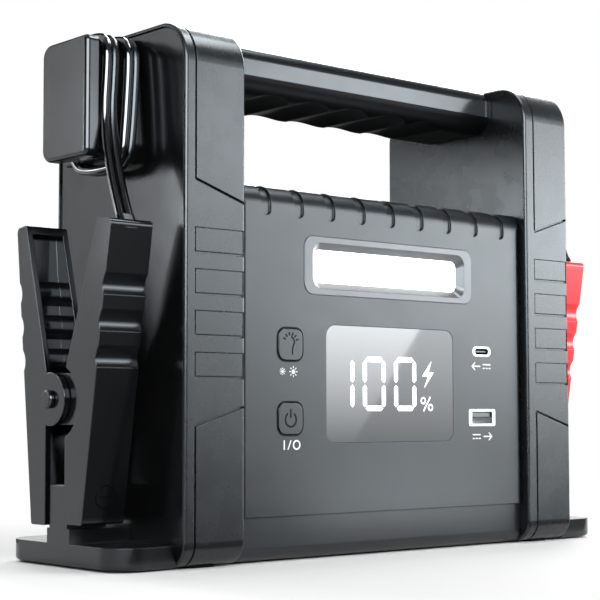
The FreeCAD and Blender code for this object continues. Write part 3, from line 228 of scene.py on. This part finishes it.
def moulded(name, colour, roughness, grain, grain_depth, edge=0.35, coat=0.0, specular=0.5):
    """Moulded plastic: a fine spark-eroded grain, slight flow marks, uneven gloss and soft edges."""
    paint = Paint(name)
    lighter = tuple(c * COLOUR_HIGH for c in colour)
    darker = tuple(c * COLOUR_LOW for c in colour)
    paint.join(paint.blend(paint.spread(paint.noise(FLOW_SIZE), 0.0, 1.0), darker, lighter), "Base Color")
    patches = paint.noise(PATCH_SIZE, 3.0)
    paint.join(paint.spread(patches, roughness * GLOSS_LOW, roughness * GLOSS_HIGH), "Roughness")
    fine = paint.relief(paint.noise(grain, 3.0), grain_depth, under=paint.edge(edge))
    paint.join(paint.relief(paint.noise(WAVE_SIZE, 1.0), WAVE_DEPTH, under=fine), "Normal")
    paint.set(IOR=PLASTIC_IOR, Specular_IOR_Level=specular, Specular_Tint=PLASTIC_TINT)
    if coat:
        paint.set(Coat_Weight=coat, Coat_Roughness=0.05)
    return paint.material


def metal(name, colour, roughness, stretch):
    """Metal with fine lines along one axis."""
    paint = Paint(name)
    paint.set(Metallic=1.0)
    lighter = tuple(min(1.0, c * 1.1) for c in colour)
    darker = tuple(c * 0.82 for c in colour)
    lines = paint.noise(0.3, 3.0, stretch)
    paint.join(paint.blend(paint.spread(lines, 0.0, 1.0), darker, lighter), "Base Color")
    paint.join(paint.spread(lines, roughness * 0.8, roughness * 1.3), "Roughness")
    paint.join(paint.relief(lines, 0.004), "Normal")
    return paint.material


def glowing(name, colour, strength):
    """Surface that gives light, a little uneven."""
    paint = Paint(name)
    dimmer = tuple(c * 0.94 for c in colour)
    tint = paint.blend(paint.spread(paint.noise(2.0), 0.0, 1.0), dimmer, colour)
    paint.join(tint, "Emission Color")
    paint.join(tint, "Base Color")
    paint.set(Emission_Strength=strength, Roughness=0.35)
    return paint.material


def glass(name):
    """Dark tinted gloss window."""
    paint = Paint(name)
    darker = (0.006, 0.0065, 0.007)
    lighter = (0.009, 0.0095, 0.01)
    paint.join(paint.blend(paint.spread(paint.noise(30.0), 0.0, 1.0), darker, lighter), "Base Color")
    paint.join(paint.spread(paint.noise(12.0), 0.03, 0.06), "Roughness")
    paint.set(IOR=1.5, Coat_Weight=0.5, Coat_Roughness=0.02)
    return paint.material


def foil(name):
    """Crinkled aluminium foil of a pouch cell."""
    paint = Paint(name)
    paint.set(Metallic=1.0)
    crinkle = paint.noise(5.0, 5.0)
    darker = (0.55, 0.55, 0.56)
    lighter = (0.75, 0.75, 0.76)
    paint.join(paint.blend(paint.spread(crinkle, 0.0, 1.0), darker, lighter), "Base Color")
    paint.join(paint.spread(crinkle, 0.25, 0.45), "Roughness")
    paint.join(paint.relief(crinkle, 0.15), "Normal")
    return paint.material


shell_plastic = moulded("shell_plastic", (0.0075, 0.0080, 0.0086), 0.3, 0.35, 0.002)
pillar_plastic = moulded("pillar_plastic", (0.0066, 0.0070, 0.0076), 0.27, 0.3, 0.0008)
panel_plastic = moulded("panel_plastic", (0.0040, 0.0042, 0.0045), 0.17, 0.3, 0.0006)
trim_plastic = moulded("trim_plastic", (0.0040, 0.0043, 0.0047), 0.19, 0.3, 0.001)
gloss_plastic = moulded("gloss_plastic", (0.0028, 0.0029, 0.0032), 0.18, 0.5, 0.0004)
soft_rubber = moulded("soft_rubber", (0.0025, 0.0025, 0.0027), 0.4, 0.4, 0.004, specular=0.06)
inner_plastic = moulded("inner_plastic", (0.012, 0.012, 0.013), 0.4, 0.4, 0.01)
clamp_plastic = moulded("clamp_plastic", (0.0042, 0.0044, 0.0048), 0.15, 0.4, 0.0006, edge=0.5)
clamp_red_plastic = moulded("clamp_red_plastic", (0.72, 0.035, 0.042), 0.22, 0.4, 0.001, edge=0.5)
lead_jacket = moulded("lead_jacket", (0.0018, 0.0018, 0.002), 0.1, 0.6, 0.0004, edge=0.1, coat=1.0)
# Copy of the lead jacket with rougher, uncoated gloss: painted shade that dims the inner lead's highlight
# in place of the shadow the outer lead casts on it.
worn_lead_jacket = moulded("worn_lead_jacket", (0.0018, 0.0018, 0.002), 0.24, 0.6, 0.0004, edge=0.1)
black_steel = metal("black_steel", (0.06, 0.06, 0.065), 0.22, (1.0, 12.0, 1.0))
steel = metal("steel", (0.62, 0.62, 0.63), 0.25, (1.0, 12.0, 1.0))
port_steel = metal("port_steel", (0.5, 0.51, 0.52), 0.2, (1.0, 1.0, 12.0))
copper = metal("copper", (0.72, 0.42, 0.28), 0.3, (1.0, 1.0, 8.0))
window_glass = glass("window_glass")
cell_foil = foil("cell_foil")
lamp_light = glowing("lamp_light", (1.0, 0.99, 0.97), 3.5)
digit_light = glowing("digit_light", (0.92, 0.97, 1.0), 1.6)
print_white = moulded("print_white", (0.8, 0.81, 0.82), 0.45, 0.2, 0.003, edge=0.05)
print_dark = moulded("print_dark", (0.004, 0.004, 0.0044), 0.5, 0.2, 0.003, edge=0.05, specular=0.1)
bezel_plastic = moulded("bezel_plastic", (0.11, 0.113, 0.118), 0.25, 0.3, 0.001)
white_plastic = moulded("white_plastic", (0.8, 0.8, 0.8), 0.35, 0.4, 0.002)
tongue_plastic = moulded("tongue_plastic", (0.1, 0.102, 0.105), 0.35, 0.4, 0.002)
board_green = moulded("board_green", (0.012, 0.09, 0.03), 0.3, 0.5, 0.003)
led_yellow = moulded("led_yellow", (0.85, 0.75, 0.3), 0.3, 0.5, 0.002)

NODE_MATERIALS = {
    "shell_plastic": ["front_cover", "rear_cover", "light_button", "power_button"],
    "pillar_plastic": ["_pillar"],
    "panel_plastic": ["_side_panel"],
    "trim_plastic": ["_hook_neck", "_hook_cap", "_lead_gland", "_clamp_stand"],
    "gloss_plastic": ["handle_bar"],
    "bezel_plastic": ["lamp_bezel"],
    "soft_rubber": ["handle_grip", "rubber_feet"],
    "steel": ["_screws", "handle_core", "handle_brackets", "_clamp_spring"],
    "black_steel": ["clamp_pins"],
    "port_steel": ["usb_a_port", "usb_c_port"],
    "window_glass": ["display_window"],
    "lamp_light": ["lamp_lens"],
    "white_plastic": ["lamp_reflector"],
    "led_yellow": ["lamp_leds"],
    "board_green": ["control_board", "lamp_board"],
    "inner_plastic": ["display_module", "button_switches", "power_relay", "battery_tray"],
    "tongue_plastic": ["_tongue"],
    "cell_foil": ["battery_cells"],
    "copper": ["busbars", "_contact"],
    "clamp_red_plastic": ["right_clamp_front_arm", "right_clamp_back_arm"],
    "clamp_plastic": ["left_clamp_front_arm", "left_clamp_back_arm", "clamp_grommets"],
}


def dress_nodes():
    """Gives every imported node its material."""
    for material, endings in NODE_MATERIALS.items():
        for ending in endings:
            for name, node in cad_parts.items():
                if name.endswith(ending):
                    node.data.materials.clear()
                    node.data.materials.append(bpy.data.materials[material])


# Leads


def lead_route(side, offset):
    """Control points of one lead, from its gland round the neck of the hook and down to the clamp."""
    x = LEAD_X + offset
    top = WINDING_HIGH_Z + WINDING_RADIUS
    points = [
        (x, GLAND_Y, GLAND_TOP_Z),
        (x, GLAND_Y, GLAND_TOP_Z + STRAIGHT_RISE),
        (x, GLAND_Y - BEND_START_LEAN, top - BEND_START_DROP),
        (x, GLAND_Y - SHOULDER_LEAN, top - SHOULDER_DROP),
        (x, WINDING_FLAT - CREST_LEAN, top + CREST_RISE),
    ]
    step = math.radians(WINDING_STEP)
    radius = WINDING_RADIUS / math.cos(step / 2)
    quarter = WINDING_RADIUS * math.pi / 2
    height = WINDING_HIGH_Z - WINDING_LOW_Z
    slope = WINDING_ADVANCE / (2 * height + 4 * WINDING_FLAT + 4 * quarter)
    turn_and_quarter = 5 * math.pi / 2
    for i in range(round(turn_and_quarter / step)):
        angle = step * (i + 0.5)
        middle_y = WINDING_FLAT if math.sin(angle) < 0 else -WINDING_FLAT
        middle_z = WINDING_HIGH_Z if math.cos(angle) > 0 else WINDING_LOW_Z
        walked = WINDING_RADIUS * angle - quarter
        walked += height * round(angle / math.pi) if angle > math.pi / 2 else 0.0
        flats_passed = round((angle + math.pi / 2) / math.pi) - 1
        walked += 2 * WINDING_FLAT * flats_passed if angle > math.pi else 0.0
        advance = slope * max(0.0, walked)
        y = middle_y - radius * math.sin(angle)
        z = middle_z + radius * math.cos(angle)
        points.append((x + advance, y, z))
    side_y = -WINDING_FLAT - WINDING_RADIUS
    points.append((x + WINDING_ADVANCE + slope * (WINDING_HIGH_Z - LEAVE_Z), side_y, LEAVE_Z))
    if offset == 0.0:
        shifts = [INNER_SIDE_SHIFT if py < -WINDING_FLAT else 0.0 for _, py, _ in points]
        points = [(px, py + shift, pz) for (px, py, pz), shift in zip(points, shifts)]
    inset = RIGHT_CLAMP_INSET if side > 0 else 0.0
    points.append((CLAMP_MIDDLE_X - inset + offset - LEAD_SPACING / 2, *LEAD_END))
    return [at(side * px, py, pz) for px, py, pz in points]


def lead(name, node, side, offset, jacket):
    """Flexible round lead as a smooth spline with the lead's own thickness."""
    points = lead_route(side, offset)
    curve = bpy.data.curves.new(name, "CURVE")
    curve.dimensions = "3D"
    curve.bevel_depth = LEAD_DIAMETER / 2 * MM
    curve.bevel_resolution = 6
    curve.resolution_u = 8
    curve.use_fill_caps = True
    spline = curve.splines.new("NURBS")
    spline.points.add(len(points) - 1)
    for place, point in zip(spline.points, points):
        place.co = (*point, 1.0)
    spline.order_u = 3
    spline.use_endpoint_u = True
    piece = bpy.data.objects.new(name, curve)
    bpy.context.scene.collection.objects.link(piece)
    piece.data.materials.append(jacket)
    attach(piece, "housing")
    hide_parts(node)


def leads():
    """Two leads on each side."""
    for side, word in SIDES:
        # The inner lead takes the duller copy of the jacket, as painted shade from the outer lead beside
        # it.
        lead(word + "_cord_inner", word + "_lead_inner", side, 0.0, worn_lead_jacket)
        lead(word + "_cord_outer", word + "_lead_outer", side, LEAD_SPACING, lead_jacket)


# Flat marks: prints, engraved icons and lit signs


class Mark:
    """Thin closed plates that lie on a flat face, drawn in that face's own axes."""

    def __init__(self, name, origin, right, up, depth=PRINT_DEPTH, proud=PRINT_PROUD):
        self.name = name
        self.origin = at(*origin)
        self.right = Vector(right)
        self.up = Vector(up)
        self.out = self.right.cross(self.up)
        self.depth = depth * MM
        self.proud = proud * MM
        self.mesh = bmesh.new()

    def point(self, u, v, w):
        """Place of a point: u right, v up in millimetres, w outwards in metres."""
        return self.origin + self.right * (u * MM) + self.up * (v * MM) + self.out * w

    def area(self, corners):
        """Plate with the given outline, anticlockwise."""
        front = [self.mesh.verts.new(self.point(u, v, self.proud)) for u, v in corners]
        back = [self.mesh.verts.new(self.point(u, v, self.proud - self.depth)) for u, v in corners]
        self.mesh.faces.new(front)
        self.mesh.faces.new(back[::-1])
        count = len(corners)
        for i in range(count):
            j = (i + 1) % count
            self.mesh.faces.new([front[j], front[i], back[i], back[j]])

    def line(self, points, width, closed=False):
        """Plate along a line of points, with mitred corners."""
        count = len(points)
        lefts = []
        rights = []
        for i in range(count):
            here = Vector(points[i])
            before = Vector(points[i - 1]) if closed or i > 0 else None
            after = Vector(points[(i + 1) % count]) if closed or i < count - 1 else None
            arrive = (here - before).normalized() if before is not None else None
            leave = (after - here).normalized() if after is not None else None
            heading = (arrive + leave).normalized() if arrive and leave else (arrive or leave)
            stretch = 1.0 / max(0.5, heading.dot(leave or arrive))
            normal = Vector((-heading.y, heading.x)) * (width / 2 * stretch)
            lefts.append(here + normal)
            rights.append(here - normal)
        rings = []
        for i in range(count):
            levels = (self.proud, self.proud - self.depth)
            sides = (lefts[i], rights[i])
            rings.append([self.mesh.verts.new(self.point(*side, w)) for w in levels for side in sides])
        last = count if closed else count - 1
        for i in range(last):
            a = rings[i]
            b = rings[(i + 1) % count]
            self.mesh.faces.new([a[0], a[1], b[1], b[0]])
            self.mesh.faces.new([a[3], a[2], b[2], b[3]])
            self.mesh.faces.new([a[2], a[0], b[0], b[2]])
            self.mesh.faces.new([a[1], a[3], b[3], b[1]])
        if not closed:
            self.mesh.faces.new([rings[0][0], rings[0][2], rings[0][3], rings[0][1]])
            self.mesh.faces.new([rings[-1][0], rings[-1][1], rings[-1][3], rings[-1][2]])

    def arc(self, u, v, radius, start, end, width, steps=24):
        """Plate along part of a circle, angles in degrees."""
        points = []
        whole = abs(end - start) >= 360
        for i in range(steps + (0 if whole else 1)):
            angle = math.radians(start + (end - start) * i / steps)
            points.append((u + radius * math.cos(angle), v + radius * math.sin(angle)))
        self.line(points, width, whole)

    def disc(self, u, v, radius, steps=20):
        """Round plate."""
        turns = [2 * math.pi / steps * i for i in range(steps)]
        self.area([(u + radius * math.cos(turn), v + radius * math.sin(turn)) for turn in turns])

    def finish(self, material, body, slot_name):
        """The finished piece, on its body."""
        mesh = bpy.data.meshes.new(self.name)
        bmesh.ops.recalc_face_normals(self.mesh, faces=self.mesh.faces)
        self.mesh.to_mesh(mesh)
        self.mesh.free()
        mesh.materials.append(material)
        piece = bpy.data.objects.new(self.name, mesh)
        bpy.context.scene.collection.objects.link(piece)
        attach(piece, body)


def on_front(name, x, face, z, **depths):
    """Mark on a face that looks to the front, at depth face from the middle."""
    return Mark(name, (x, -face, z), (1, 0, 0), (0, 0, 1), **depths)


# Bars of the shown digits: a on top, then clockwise to f
DIGIT_SEGMENTS = {0: "abcdef", 1: "bc"}


def segment(mark, u1, v1, u2, v2):
    """One lit bar of a digit, with pointed ends."""
    along = Vector((u2 - u1, v2 - v1)).normalized()
    across = Vector((-along.y, along.x)) * DIGIT_BAR / 2
    start = Vector((u1, v1))
    end = Vector((u2, v2))
    tip = along * DIGIT_BAR / 2
    lower = [start, start + tip - across, end - tip - across]
    upper = [end, end - tip + across, start + tip + across]
    mark.area([tuple(corner) for corner in lower + upper])


def digit(mark, value, u, width, height):
    """Digit of lit bars whose left side lies at u."""
    left = u + DIGIT_BAR / 2
    right = u + width - DIGIT_BAR / 2
    low = DIGIT_LOW_Z + DIGIT_BAR / 2
    high = DIGIT_LOW_Z + height - DIGIT_BAR / 2
    middle = (low + high) / 2
    gap = DIGIT_GAP
    places = {
        "a": (left + gap, high, right - gap, high),
        "b": (right, middle + gap, right, high - gap),
        "c": (right, low + gap, right, middle - gap),
        "d": (left + gap, low, right - gap, low),
        "e": (left, low + gap, left, middle - gap),
        "f": (left, middle + gap, left, high - gap),
    }
    for name in DIGIT_SEGMENTS[value]:
        segment(mark, *places[name])


def display_signs():
    """Lit digits, percent sign and bolt on the display."""
    mark = on_front("display_digits", 0.0, WINDOW_FACE, 0.0, depth=SIGN_DEPTH, proud=SIGN_PROUD)
    digit(mark, 1, -33.2, 12.6, 21.5)
    digit(mark, 0, -15.95, DIGIT_WIDTH, 21.6)
    digit(mark, 0, 1.3, DIGIT_WIDTH, 21.8)
    mark.finish(digit_light, "housing", "display_glass")
    sign = on_front("display_signs", 0.0, WINDOW_FACE, 0.0, depth=SIGN_DEPTH, proud=SIGN_PROUD)
    bolt_upper = [(22.9, 77.5), (17.4, 71.25), (20.7, 71.0)]
    bolt_lower = [(18.5, 66.3), (24.0, 72.8), (21.0, 73.0)]
    sign.area(bolt_upper + bolt_lower)
    sign.line([(18.0, 56.9), (22.0, 62.7)], PERCENT_LINE * 1.1)
    for u, v in ((17.9, 61.2), (22.1, 58.4)):
        sign.arc(u, v, 1.2, 0, 360, PERCENT_LINE)
    sign.finish(digit_light, "housing", "display_glass")


def rounded_square(size, corner):
    """Outline of a square with rounded corners around the origin, anticlockwise."""
    middle = size / 2 - corner
    points = []
    for quarter in range(4):
        turn = math.radians(90 * quarter + 45)
        middle_u = math.copysign(middle, math.cos(turn))
        middle_v = math.copysign(middle, math.sin(turn))
        for i in range(CORNER_STEPS + 1):
            angle = math.radians(90 * quarter + 90 * i / CORNER_STEPS)
            points.append((middle_u + corner * math.cos(angle), middle_v + corner * math.sin(angle)))
    return points


def button_icons():
    """Engraved icons on both buttons, the dark joint round each and a small lit dot at its corner."""
    power = on_front("power_icon", BUTTON_X, BUTTON_FACE, POWER_BUTTON_Z)
    power.arc(0.0, -0.4, 2.7, 122, 418, POWER_LINE)
    power.line([(0.0, 0.3), (0.0, 3.7)], POWER_LINE)
    power.finish(print_dark, "power_button", "button_black")
    light = on_front("light_icon", BUTTON_X, BUTTON_FACE, LIGHT_BUTTON_Z)
    beam = [(0.3, 3.0), (1.5, 2.0), (1.9, 0.9), (1.1, -0.9), (0.8, -2.2), (0.9, -3.9)]
    light.line(beam, LIGHT_LINE)
    rays_v = 0.7
    for degrees in range(20, 181, 27):
        turn = math.radians(degrees)
        ray = [(radius * math.cos(turn), rays_v + radius * math.sin(turn)) for radius in (2.7, 4.1)]
        light.line(ray, LIGHT_LINE)
    light.finish(print_dark, "light_button", "button_black")
    joints = on_front("button_joints", BUTTON_X, COVER_FACE, 0.0)
    dots = on_front("button_dots", BUTTON_X, COVER_FACE, 0.0, proud=0.12)
    for z in (LIGHT_BUTTON_Z, POWER_BUTTON_Z):
        ring = rounded_square(BUTTON_SIZE + BUTTON_JOINT, BUTTON_CORNER + BUTTON_JOINT / 2)
        joints.line([(u, z + v) for u, v in ring], JOINT_WIDTH, True)
        dots.disc(-BUTTON_SIZE / 2 + 0.6, z + 3.6, 0.32, 12)
    joints.finish(print_dark, "housing", "charcoal_shell")
    dots.finish(digit_light, "housing", "display_glass")


def sun_sign(mark, u, v, size):
    """Small sun: a disc with eight rays."""
    mark.disc(u, v, size * 0.42)
    for i in range(8):
        turn = math.radians(45 * i)
        mark.line([(u + r * math.cos(turn), v + r * math.sin(turn)) for r in (size * 0.62, size)], 0.4)


def arrow_sign(mark, u, v, way):
    """Arrow that points right for 1 and left for -1."""
    head_u = u + way * 0.6
    mark.line([(u - way * 2.6, v), (u + way * 1.6, v)], PRINT_LINE)
    mark.line([(head_u, v + way * 1.6), (u + way * 2.4, v), (head_u, v - way * 1.6)], PRINT_LINE)


def current_sign(mark, u, v):
    """Sign for direct current: a long line above three short ones."""
    mark.line([(u - 2.4, v + 0.8), (u + 2.4, v + 0.8)], 0.5)
    for i in (-1, 0, 1):
        mark.line([(u + i * 1.8 - 0.6, v - 0.8), (u + i * 1.8 + 0.6, v - 0.8)], 0.5)


def printed_signs():
    """Small printed signs under the buttons and the ports."""
    mark = on_front("printed_signs", 0.0, COVER_FACE, 0.0)
    sun_sign(mark, BUTTON_X - 3.8, SUN_SIGN_Z, 1.4)
    sun_sign(mark, BUTTON_X + 1.6, SUN_SIGN_Z, 2.1)
    low = SWITCH_SIGN_Z - 1.8
    high = SWITCH_SIGN_Z + 1.8
    mark.line([(BUTTON_X - 3.0, low), (BUTTON_X - 3.0, high)], 0.6)
    mark.line([(BUTTON_X - 1.2, low), (BUTTON_X + 0.4, high)], 0.45)
    mark.arc(BUTTON_X + 3.2, SWITCH_SIGN_Z, 1.6, 0, 360, 0.6)
    arrow_sign(mark, PORT_X - 3.6, INPUT_SIGN_Z, -1)
    current_sign(mark, PORT_X + 3.0, INPUT_SIGN_Z)
    current_sign(mark, PORT_X - 3.6, OUTPUT_SIGN_Z)
    arrow_sign(mark, PORT_X + 3.4, OUTPUT_SIGN_Z, 1)
    mark.finish(print_white, "housing", "charcoal_shell")


def polarity_marks():
    """Engraved signs low on the front arms of the clamps: minus on the left, plus on the right."""
    for side, word in SIDES:
        x = side * (CLAMP_MIDDLE_X - (RIGHT_CLAMP_INSET if side > 0 else 0.0))
        mark = Mark(word + "_polarity_mark", (x, *POLARITY_POINT), (1, 0, 0), POLARITY_UP)
        mark.arc(0.0, 0.0, POLARITY_RADIUS, 0, 360, 0.4, 36)
        mark.line([(-POLARITY_ARM, 0.0), (POLARITY_ARM, 0.0)], POLARITY_LINE)
        if side > 0:
            mark.line([(0.0, 0.4), (0.0, POLARITY_ARM)], POLARITY_LINE)
            mark.line([(0.0, -POLARITY_ARM), (0.0, -0.4)], POLARITY_LINE)
        mark.finish(soft_rubber, "housing", "clamp_black" if side < 0 else "clamp_red")


# Studio


def seen_directly(tree):
    """Output that is 1 for camera, glossy and transmission rays."""
    path = tree.nodes.new("ShaderNodeLightPath")
    seen = path.outputs["Is Camera Ray"]
    for name in ("Is Glossy Ray", "Is Transmission Ray"):
        larger = tree.nodes.new("ShaderNodeMath")
        larger.operation = "MAXIMUM"
        tree.links.new(seen, larger.inputs[0])
        tree.links.new(path.outputs[name], larger.inputs[1])
        seen = larger.outputs[0]
    return seen


def white_world():
    """World that is white where it is seen or mirrored, and dimmer as a source of light."""
    world = bpy.data.worlds.new("studio_world")
    bpy.context.scene.world = world
    world.use_nodes = True
    tree = world.node_tree
    background = tree.nodes["Background"]
    level = tree.nodes.new("ShaderNodeMapRange")
    level.inputs["To Min"].default_value = 0.3
    level.inputs["To Max"].default_value = 1.0
    tree.links.new(seen_directly(tree), level.inputs["Value"])
    background.inputs["Color"].default_value = WHITE
    tree.links.new(level.outputs["Result"], background.inputs["Strength"])


def floor():
    """Round pale floor that keeps the pack's shadow and fades into the white of the world."""
    mesh = bpy.data.meshes.new("floor")
    made = bmesh.new()
    bmesh.ops.create_circle(made, cap_ends=True, cap_tris=False, segments=96, radius=FLOOR_RADIUS)
    made.to_mesh(mesh)
    made.free()
    piece = bpy.data.objects.new("floor", mesh)
    bpy.context.scene.collection.objects.link(piece)
    paint = Paint("floor_white")
    tree = paint.tree
    darker = (0.88, 0.88, 0.88)
    lighter = (0.9, 0.9, 0.9)
    paint.join(paint.blend(paint.spread(paint.noise(600.0), 0.0, 1.0), darker, lighter), "Base Color")
    paint.set(Roughness=0.7, Specular_IOR_Level=0.1)
    length = tree.nodes.new("ShaderNodeVectorMath")
    length.operation = "LENGTH"
    tree.links.new(paint.place, length.inputs[0])
    far = paint.spread(length.outputs["Value"], 0.0, 1.0, FADE_START, FADE_END)
    white = tree.nodes.new("ShaderNodeEmission")
    mixed = tree.nodes.new("ShaderNodeMixShader")
    tree.links.new(far, mixed.inputs[0])
    tree.links.new(paint.shader.outputs[0], mixed.inputs[1])
    tree.links.new(white.outputs[0], mixed.inputs[2])
    shown = tree.nodes.new("ShaderNodeMixShader")
    tree.links.new(seen_directly(tree), shown.inputs[0])
    tree.links.new(paint.shader.outputs[0], shown.inputs[1])
    tree.links.new(mixed.outputs[0], shown.inputs[2])
    output = next(node for node in tree.nodes if node.type == "OUTPUT_MATERIAL")
    tree.links.new(shown.outputs[0], output.inputs["Surface"])
    piece.data.materials.append(paint.material)


def screen(name, corners, level, low_level=None):
    """Flat studio screen that shows only in reflections; low_level grades it upwards from there."""
    mesh = bpy.data.meshes.new(name)
    mesh.from_pydata(corners, [], [tuple(range(len(corners)))])
    piece = bpy.data.objects.new(name, mesh)
    bpy.context.scene.collection.objects.link(piece)
    paint = Paint(name)
    paint.set(Base_Color=BLACK, Roughness=1.0, Specular_IOR_Level=0.0)
    paint.set(Emission_Color=SCREEN_TINT, Emission_Strength=level)
    if low_level is not None:
        parts = paint.tree.nodes.new("ShaderNodeSeparateXYZ")
        paint.tree.links.new(paint.place, parts.inputs[0])
        heights = [corner[2] for corner in corners]
        fade = paint.spread(parts.outputs["Z"], low_level, level, min(heights), max(heights))
        paint.join(fade, "Emission Strength")
    paint.material.cycles.emission_sampling = "NONE"
    mesh.materials.append(paint.material)
    piece.visible_camera = False
    piece.visible_diffuse = False
    piece.visible_transmission = False
    piece.visible_volume_scatter = False
    piece.visible_shadow = False


def level_screen(name, x_low, x_high, y_low, y_high, z, level):
    """Screen that lies level."""
    screen(name, [(x_low, y_low, z), (x_high, y_low, z), (x_high, y_high, z), (x_low, y_high, z)], level)


def upright_screen(name, start, end, z_low, z_high, level):
    """Screen that stands upright on the line from start to end."""
    screen(name, [(*start, z_low), (*end, z_low), (*end, z_high), (*start, z_high)], level)


def on_lamp_plane(across, z):
    """Place on the upright plane of the front lamps, across metres to the right of its middle line."""
    middle_x, middle_y = LAMP_PLANE_MIDDLE
    right_x, right_y = LAMP_PLANE_RIGHT
    return (middle_x + right_x * across, middle_y + right_y * across, z)


def softbox(name, place, aim, width, height, radiance, glossy=True):
    """Rectangular soft lamp of the given radiance that looks at a point."""
    lamp = bpy.data.lights.new(name, "AREA")
    lamp.shape = "RECTANGLE"
    lamp.size = width
    lamp.size_y = height
    lamp.energy = radiance * math.pi * width * height
    piece = bpy.data.objects.new(name, lamp)
    piece.location = place
    piece.rotation_mode = "QUATERNION"
    piece.rotation_quaternion = (Vector(aim) - Vector(place)).to_track_quat("-Z", "Y")
    piece.visible_camera = False
    piece.visible_glossy = glossy
    bpy.context.scene.collection.objects.link(piece)


def front_softbox(name, left, right, low, high, radiance):
    """Soft lamp on the front plane, between two places across and two heights, not seen in gloss."""
    x, y, z = on_lamp_plane((left + right) / 2, (low + high) / 2)
    right_x, right_y = LAMP_PLANE_RIGHT
    aim = (x - right_y, y + right_x, z)
    softbox(name, (x, y, z), aim, right - left, high - low, radiance, glossy=False)


def front_screen(name, corners, low_level, level):
    """Screen on the front plane, through corners given by place across and height."""
    screen(name, [on_lamp_plane(*corner) for corner in corners], level, low_level)


def front_panel(name, left, right, low, high, low_level, level):
    """Upright rectangle of the front plane as a screen."""
    front_screen(name, [(left, low), (right, low), (right, high), (left, high)], low_level, level)


def lamps():
    """Soft lamps round the pack."""
    front_softbox("front_right", -0.35, 0.35, 0.2, 0.65, 8.0)
    front_softbox("front_low", 0.12, 0.36, 0.02, 0.16, 5.0)
    softbox("right", (0.88, -0.37, 0.2), (0.0, 0.0, 0.15), 0.25, 0.24, 9.0)
    softbox("camera_side", (-0.59, -0.68, 0.38), (0.0, 0.0, 0.2), 0.5, 0.3, 5.0, glossy=False)
    softbox("back_right", (0.8, 0.6, 0.5), (0.0, 0.0, 0.2), 0.5, 0.5, 6.0)
    softbox("back", (-0.2, 1.2, 0.8), (0.0, 0.0, 0.1), 0.6, 0.5, 6.0)
    softbox("overhead", (0.0, 0.0, 1.6), (0.0, 0.0, 0.0), 1.2, 1.2, 2.3, glossy=False)


def front_screens():
    """Screens that the front of the pack mirrors, its upper part those above the split."""
    front_panel("front_screen", -0.15, 0.08, SPLIT_Z, 0.45, 5.0, 12.6)
    front_panel("front_left_screen", SCREENS_LEFT, -0.15, SPLIT_Z, 0.39, 3.8, 10.5)
    front_panel("front_left_top_screen", SCREENS_LEFT, -0.15, 0.39, 0.62, 4.0, 1.5)
    front_panel("front_far_screen", 0.08, SCREENS_RIGHT, SPLIT_Z, 0.4, 15.5, 0.8)
    front_panel("left_low_screen", SCREENS_LEFT, SLANT_LEFT, 0.05, SPLIT_Z, 0.7, 3.9)
    left_of_slant = [(SLANT_LEFT, 0.0), SLANT_LOW, SLANT_HIGH, (SLANT_LEFT, SPLIT_Z)]
    right_of_slant = [SLANT_LOW, (SCREENS_RIGHT, 0.0), (SCREENS_RIGHT, SPLIT_Z), SLANT_HIGH]
    front_screen("sign_screen", left_of_slant, 0.3, 17.0)
    front_screen("right_low_screen", right_of_slant, 1.4, 8.5)


def level_screens():
    """Screens above the pack and on the floor."""
    level_screen("ceiling_screen", -0.7, 1.6, -1.4, -0.1, CEILING_Z, 0.25)
    level_screen("grip_screen", 0.15, 0.46, -0.45, 0.0, CEILING_Z - 0.02, 14.0)
    level_screen("zenith_screen", -0.7, 1.6, -0.1, 0.08, CEILING_Z, 0.4)
    band_z = 0.003
    near_y = -0.13
    far_y = -0.62
    band = [(0.04, near_y, band_z), (0.4, far_y, band_z), (0.72, far_y, band_z), (0.165, near_y, band_z)]
    screen("band_screen", band, 9.0)
    level_screen("front_floor_screen", -0.6, 1.4, -1.6, -0.25, 0.0035, 0.2)
    level_screen("foot_screen", -0.14, 0.35, -0.27, -0.05, 0.002, 0.12)
    level_screen("back_floor_screen", -0.15, 1.4, 0.06, 1.3, 0.005, 0.05)


def upright_screens():
    """Screens on the left, behind the camera and behind the pack."""
    corner = (-1.4, -1.5)
    upright_screen("left_screen", corner, (-1.4, 1.0), 0.0, 1.6, 0.03)
    upright_screen("camera_left_screen", corner, (0.45, -1.5), 0.0, 1.6, 0.03)
    upright_screen("camera_side_screen", (-0.93, -0.385), (-0.25, -0.975), 0.16, 0.66, 16.0)
    upright_screen("back_left_screen", (-0.75, 0.6), (-0.63, 0.6), 0.18, 0.36, 22.0)
    upright_screen("back_right_screen", (0.3, 1.0), (0.9, 0.4), 0.5, 1.1, 14.0)
    upright_screen("winding_screen", (-0.17, 0.12), (0.0, 0.12), 0.2, 0.6, 0.02)


def camera():
    """Camera at the photograph's place."""
    data = bpy.data.cameras.new("camera")
    data.sensor_width = 36.0
    data.lens = CAMERA_LENS
    data.clip_start = 0.01
    data.clip_end = 50.0
    piece = bpy.data.objects.new("camera", data)
    piece.location = at(*CAMERA_PLACE)
    piece.rotation_mode = "QUATERNION"
    piece.rotation_quaternion = Vector(CAMERA_AIM).to_track_quat("-Z", "Y")
    piece.rotation_mode = "XYZ"
    piece.rotation_euler.rotate_axis("Z", CAMERA_ROLL)
    bpy.context.scene.collection.objects.link(piece)
    bpy.context.scene.camera = piece


camera()
white_world()
floor()
lamps()
front_screens()
level_screens()
upright_screens()
dress_nodes()
leads()
display_signs()
button_icons()
printed_signs()
polarity_marks()
bpy.context.scene.view_settings.view_transform = "Standard"
bpy.context.view_layer.update()
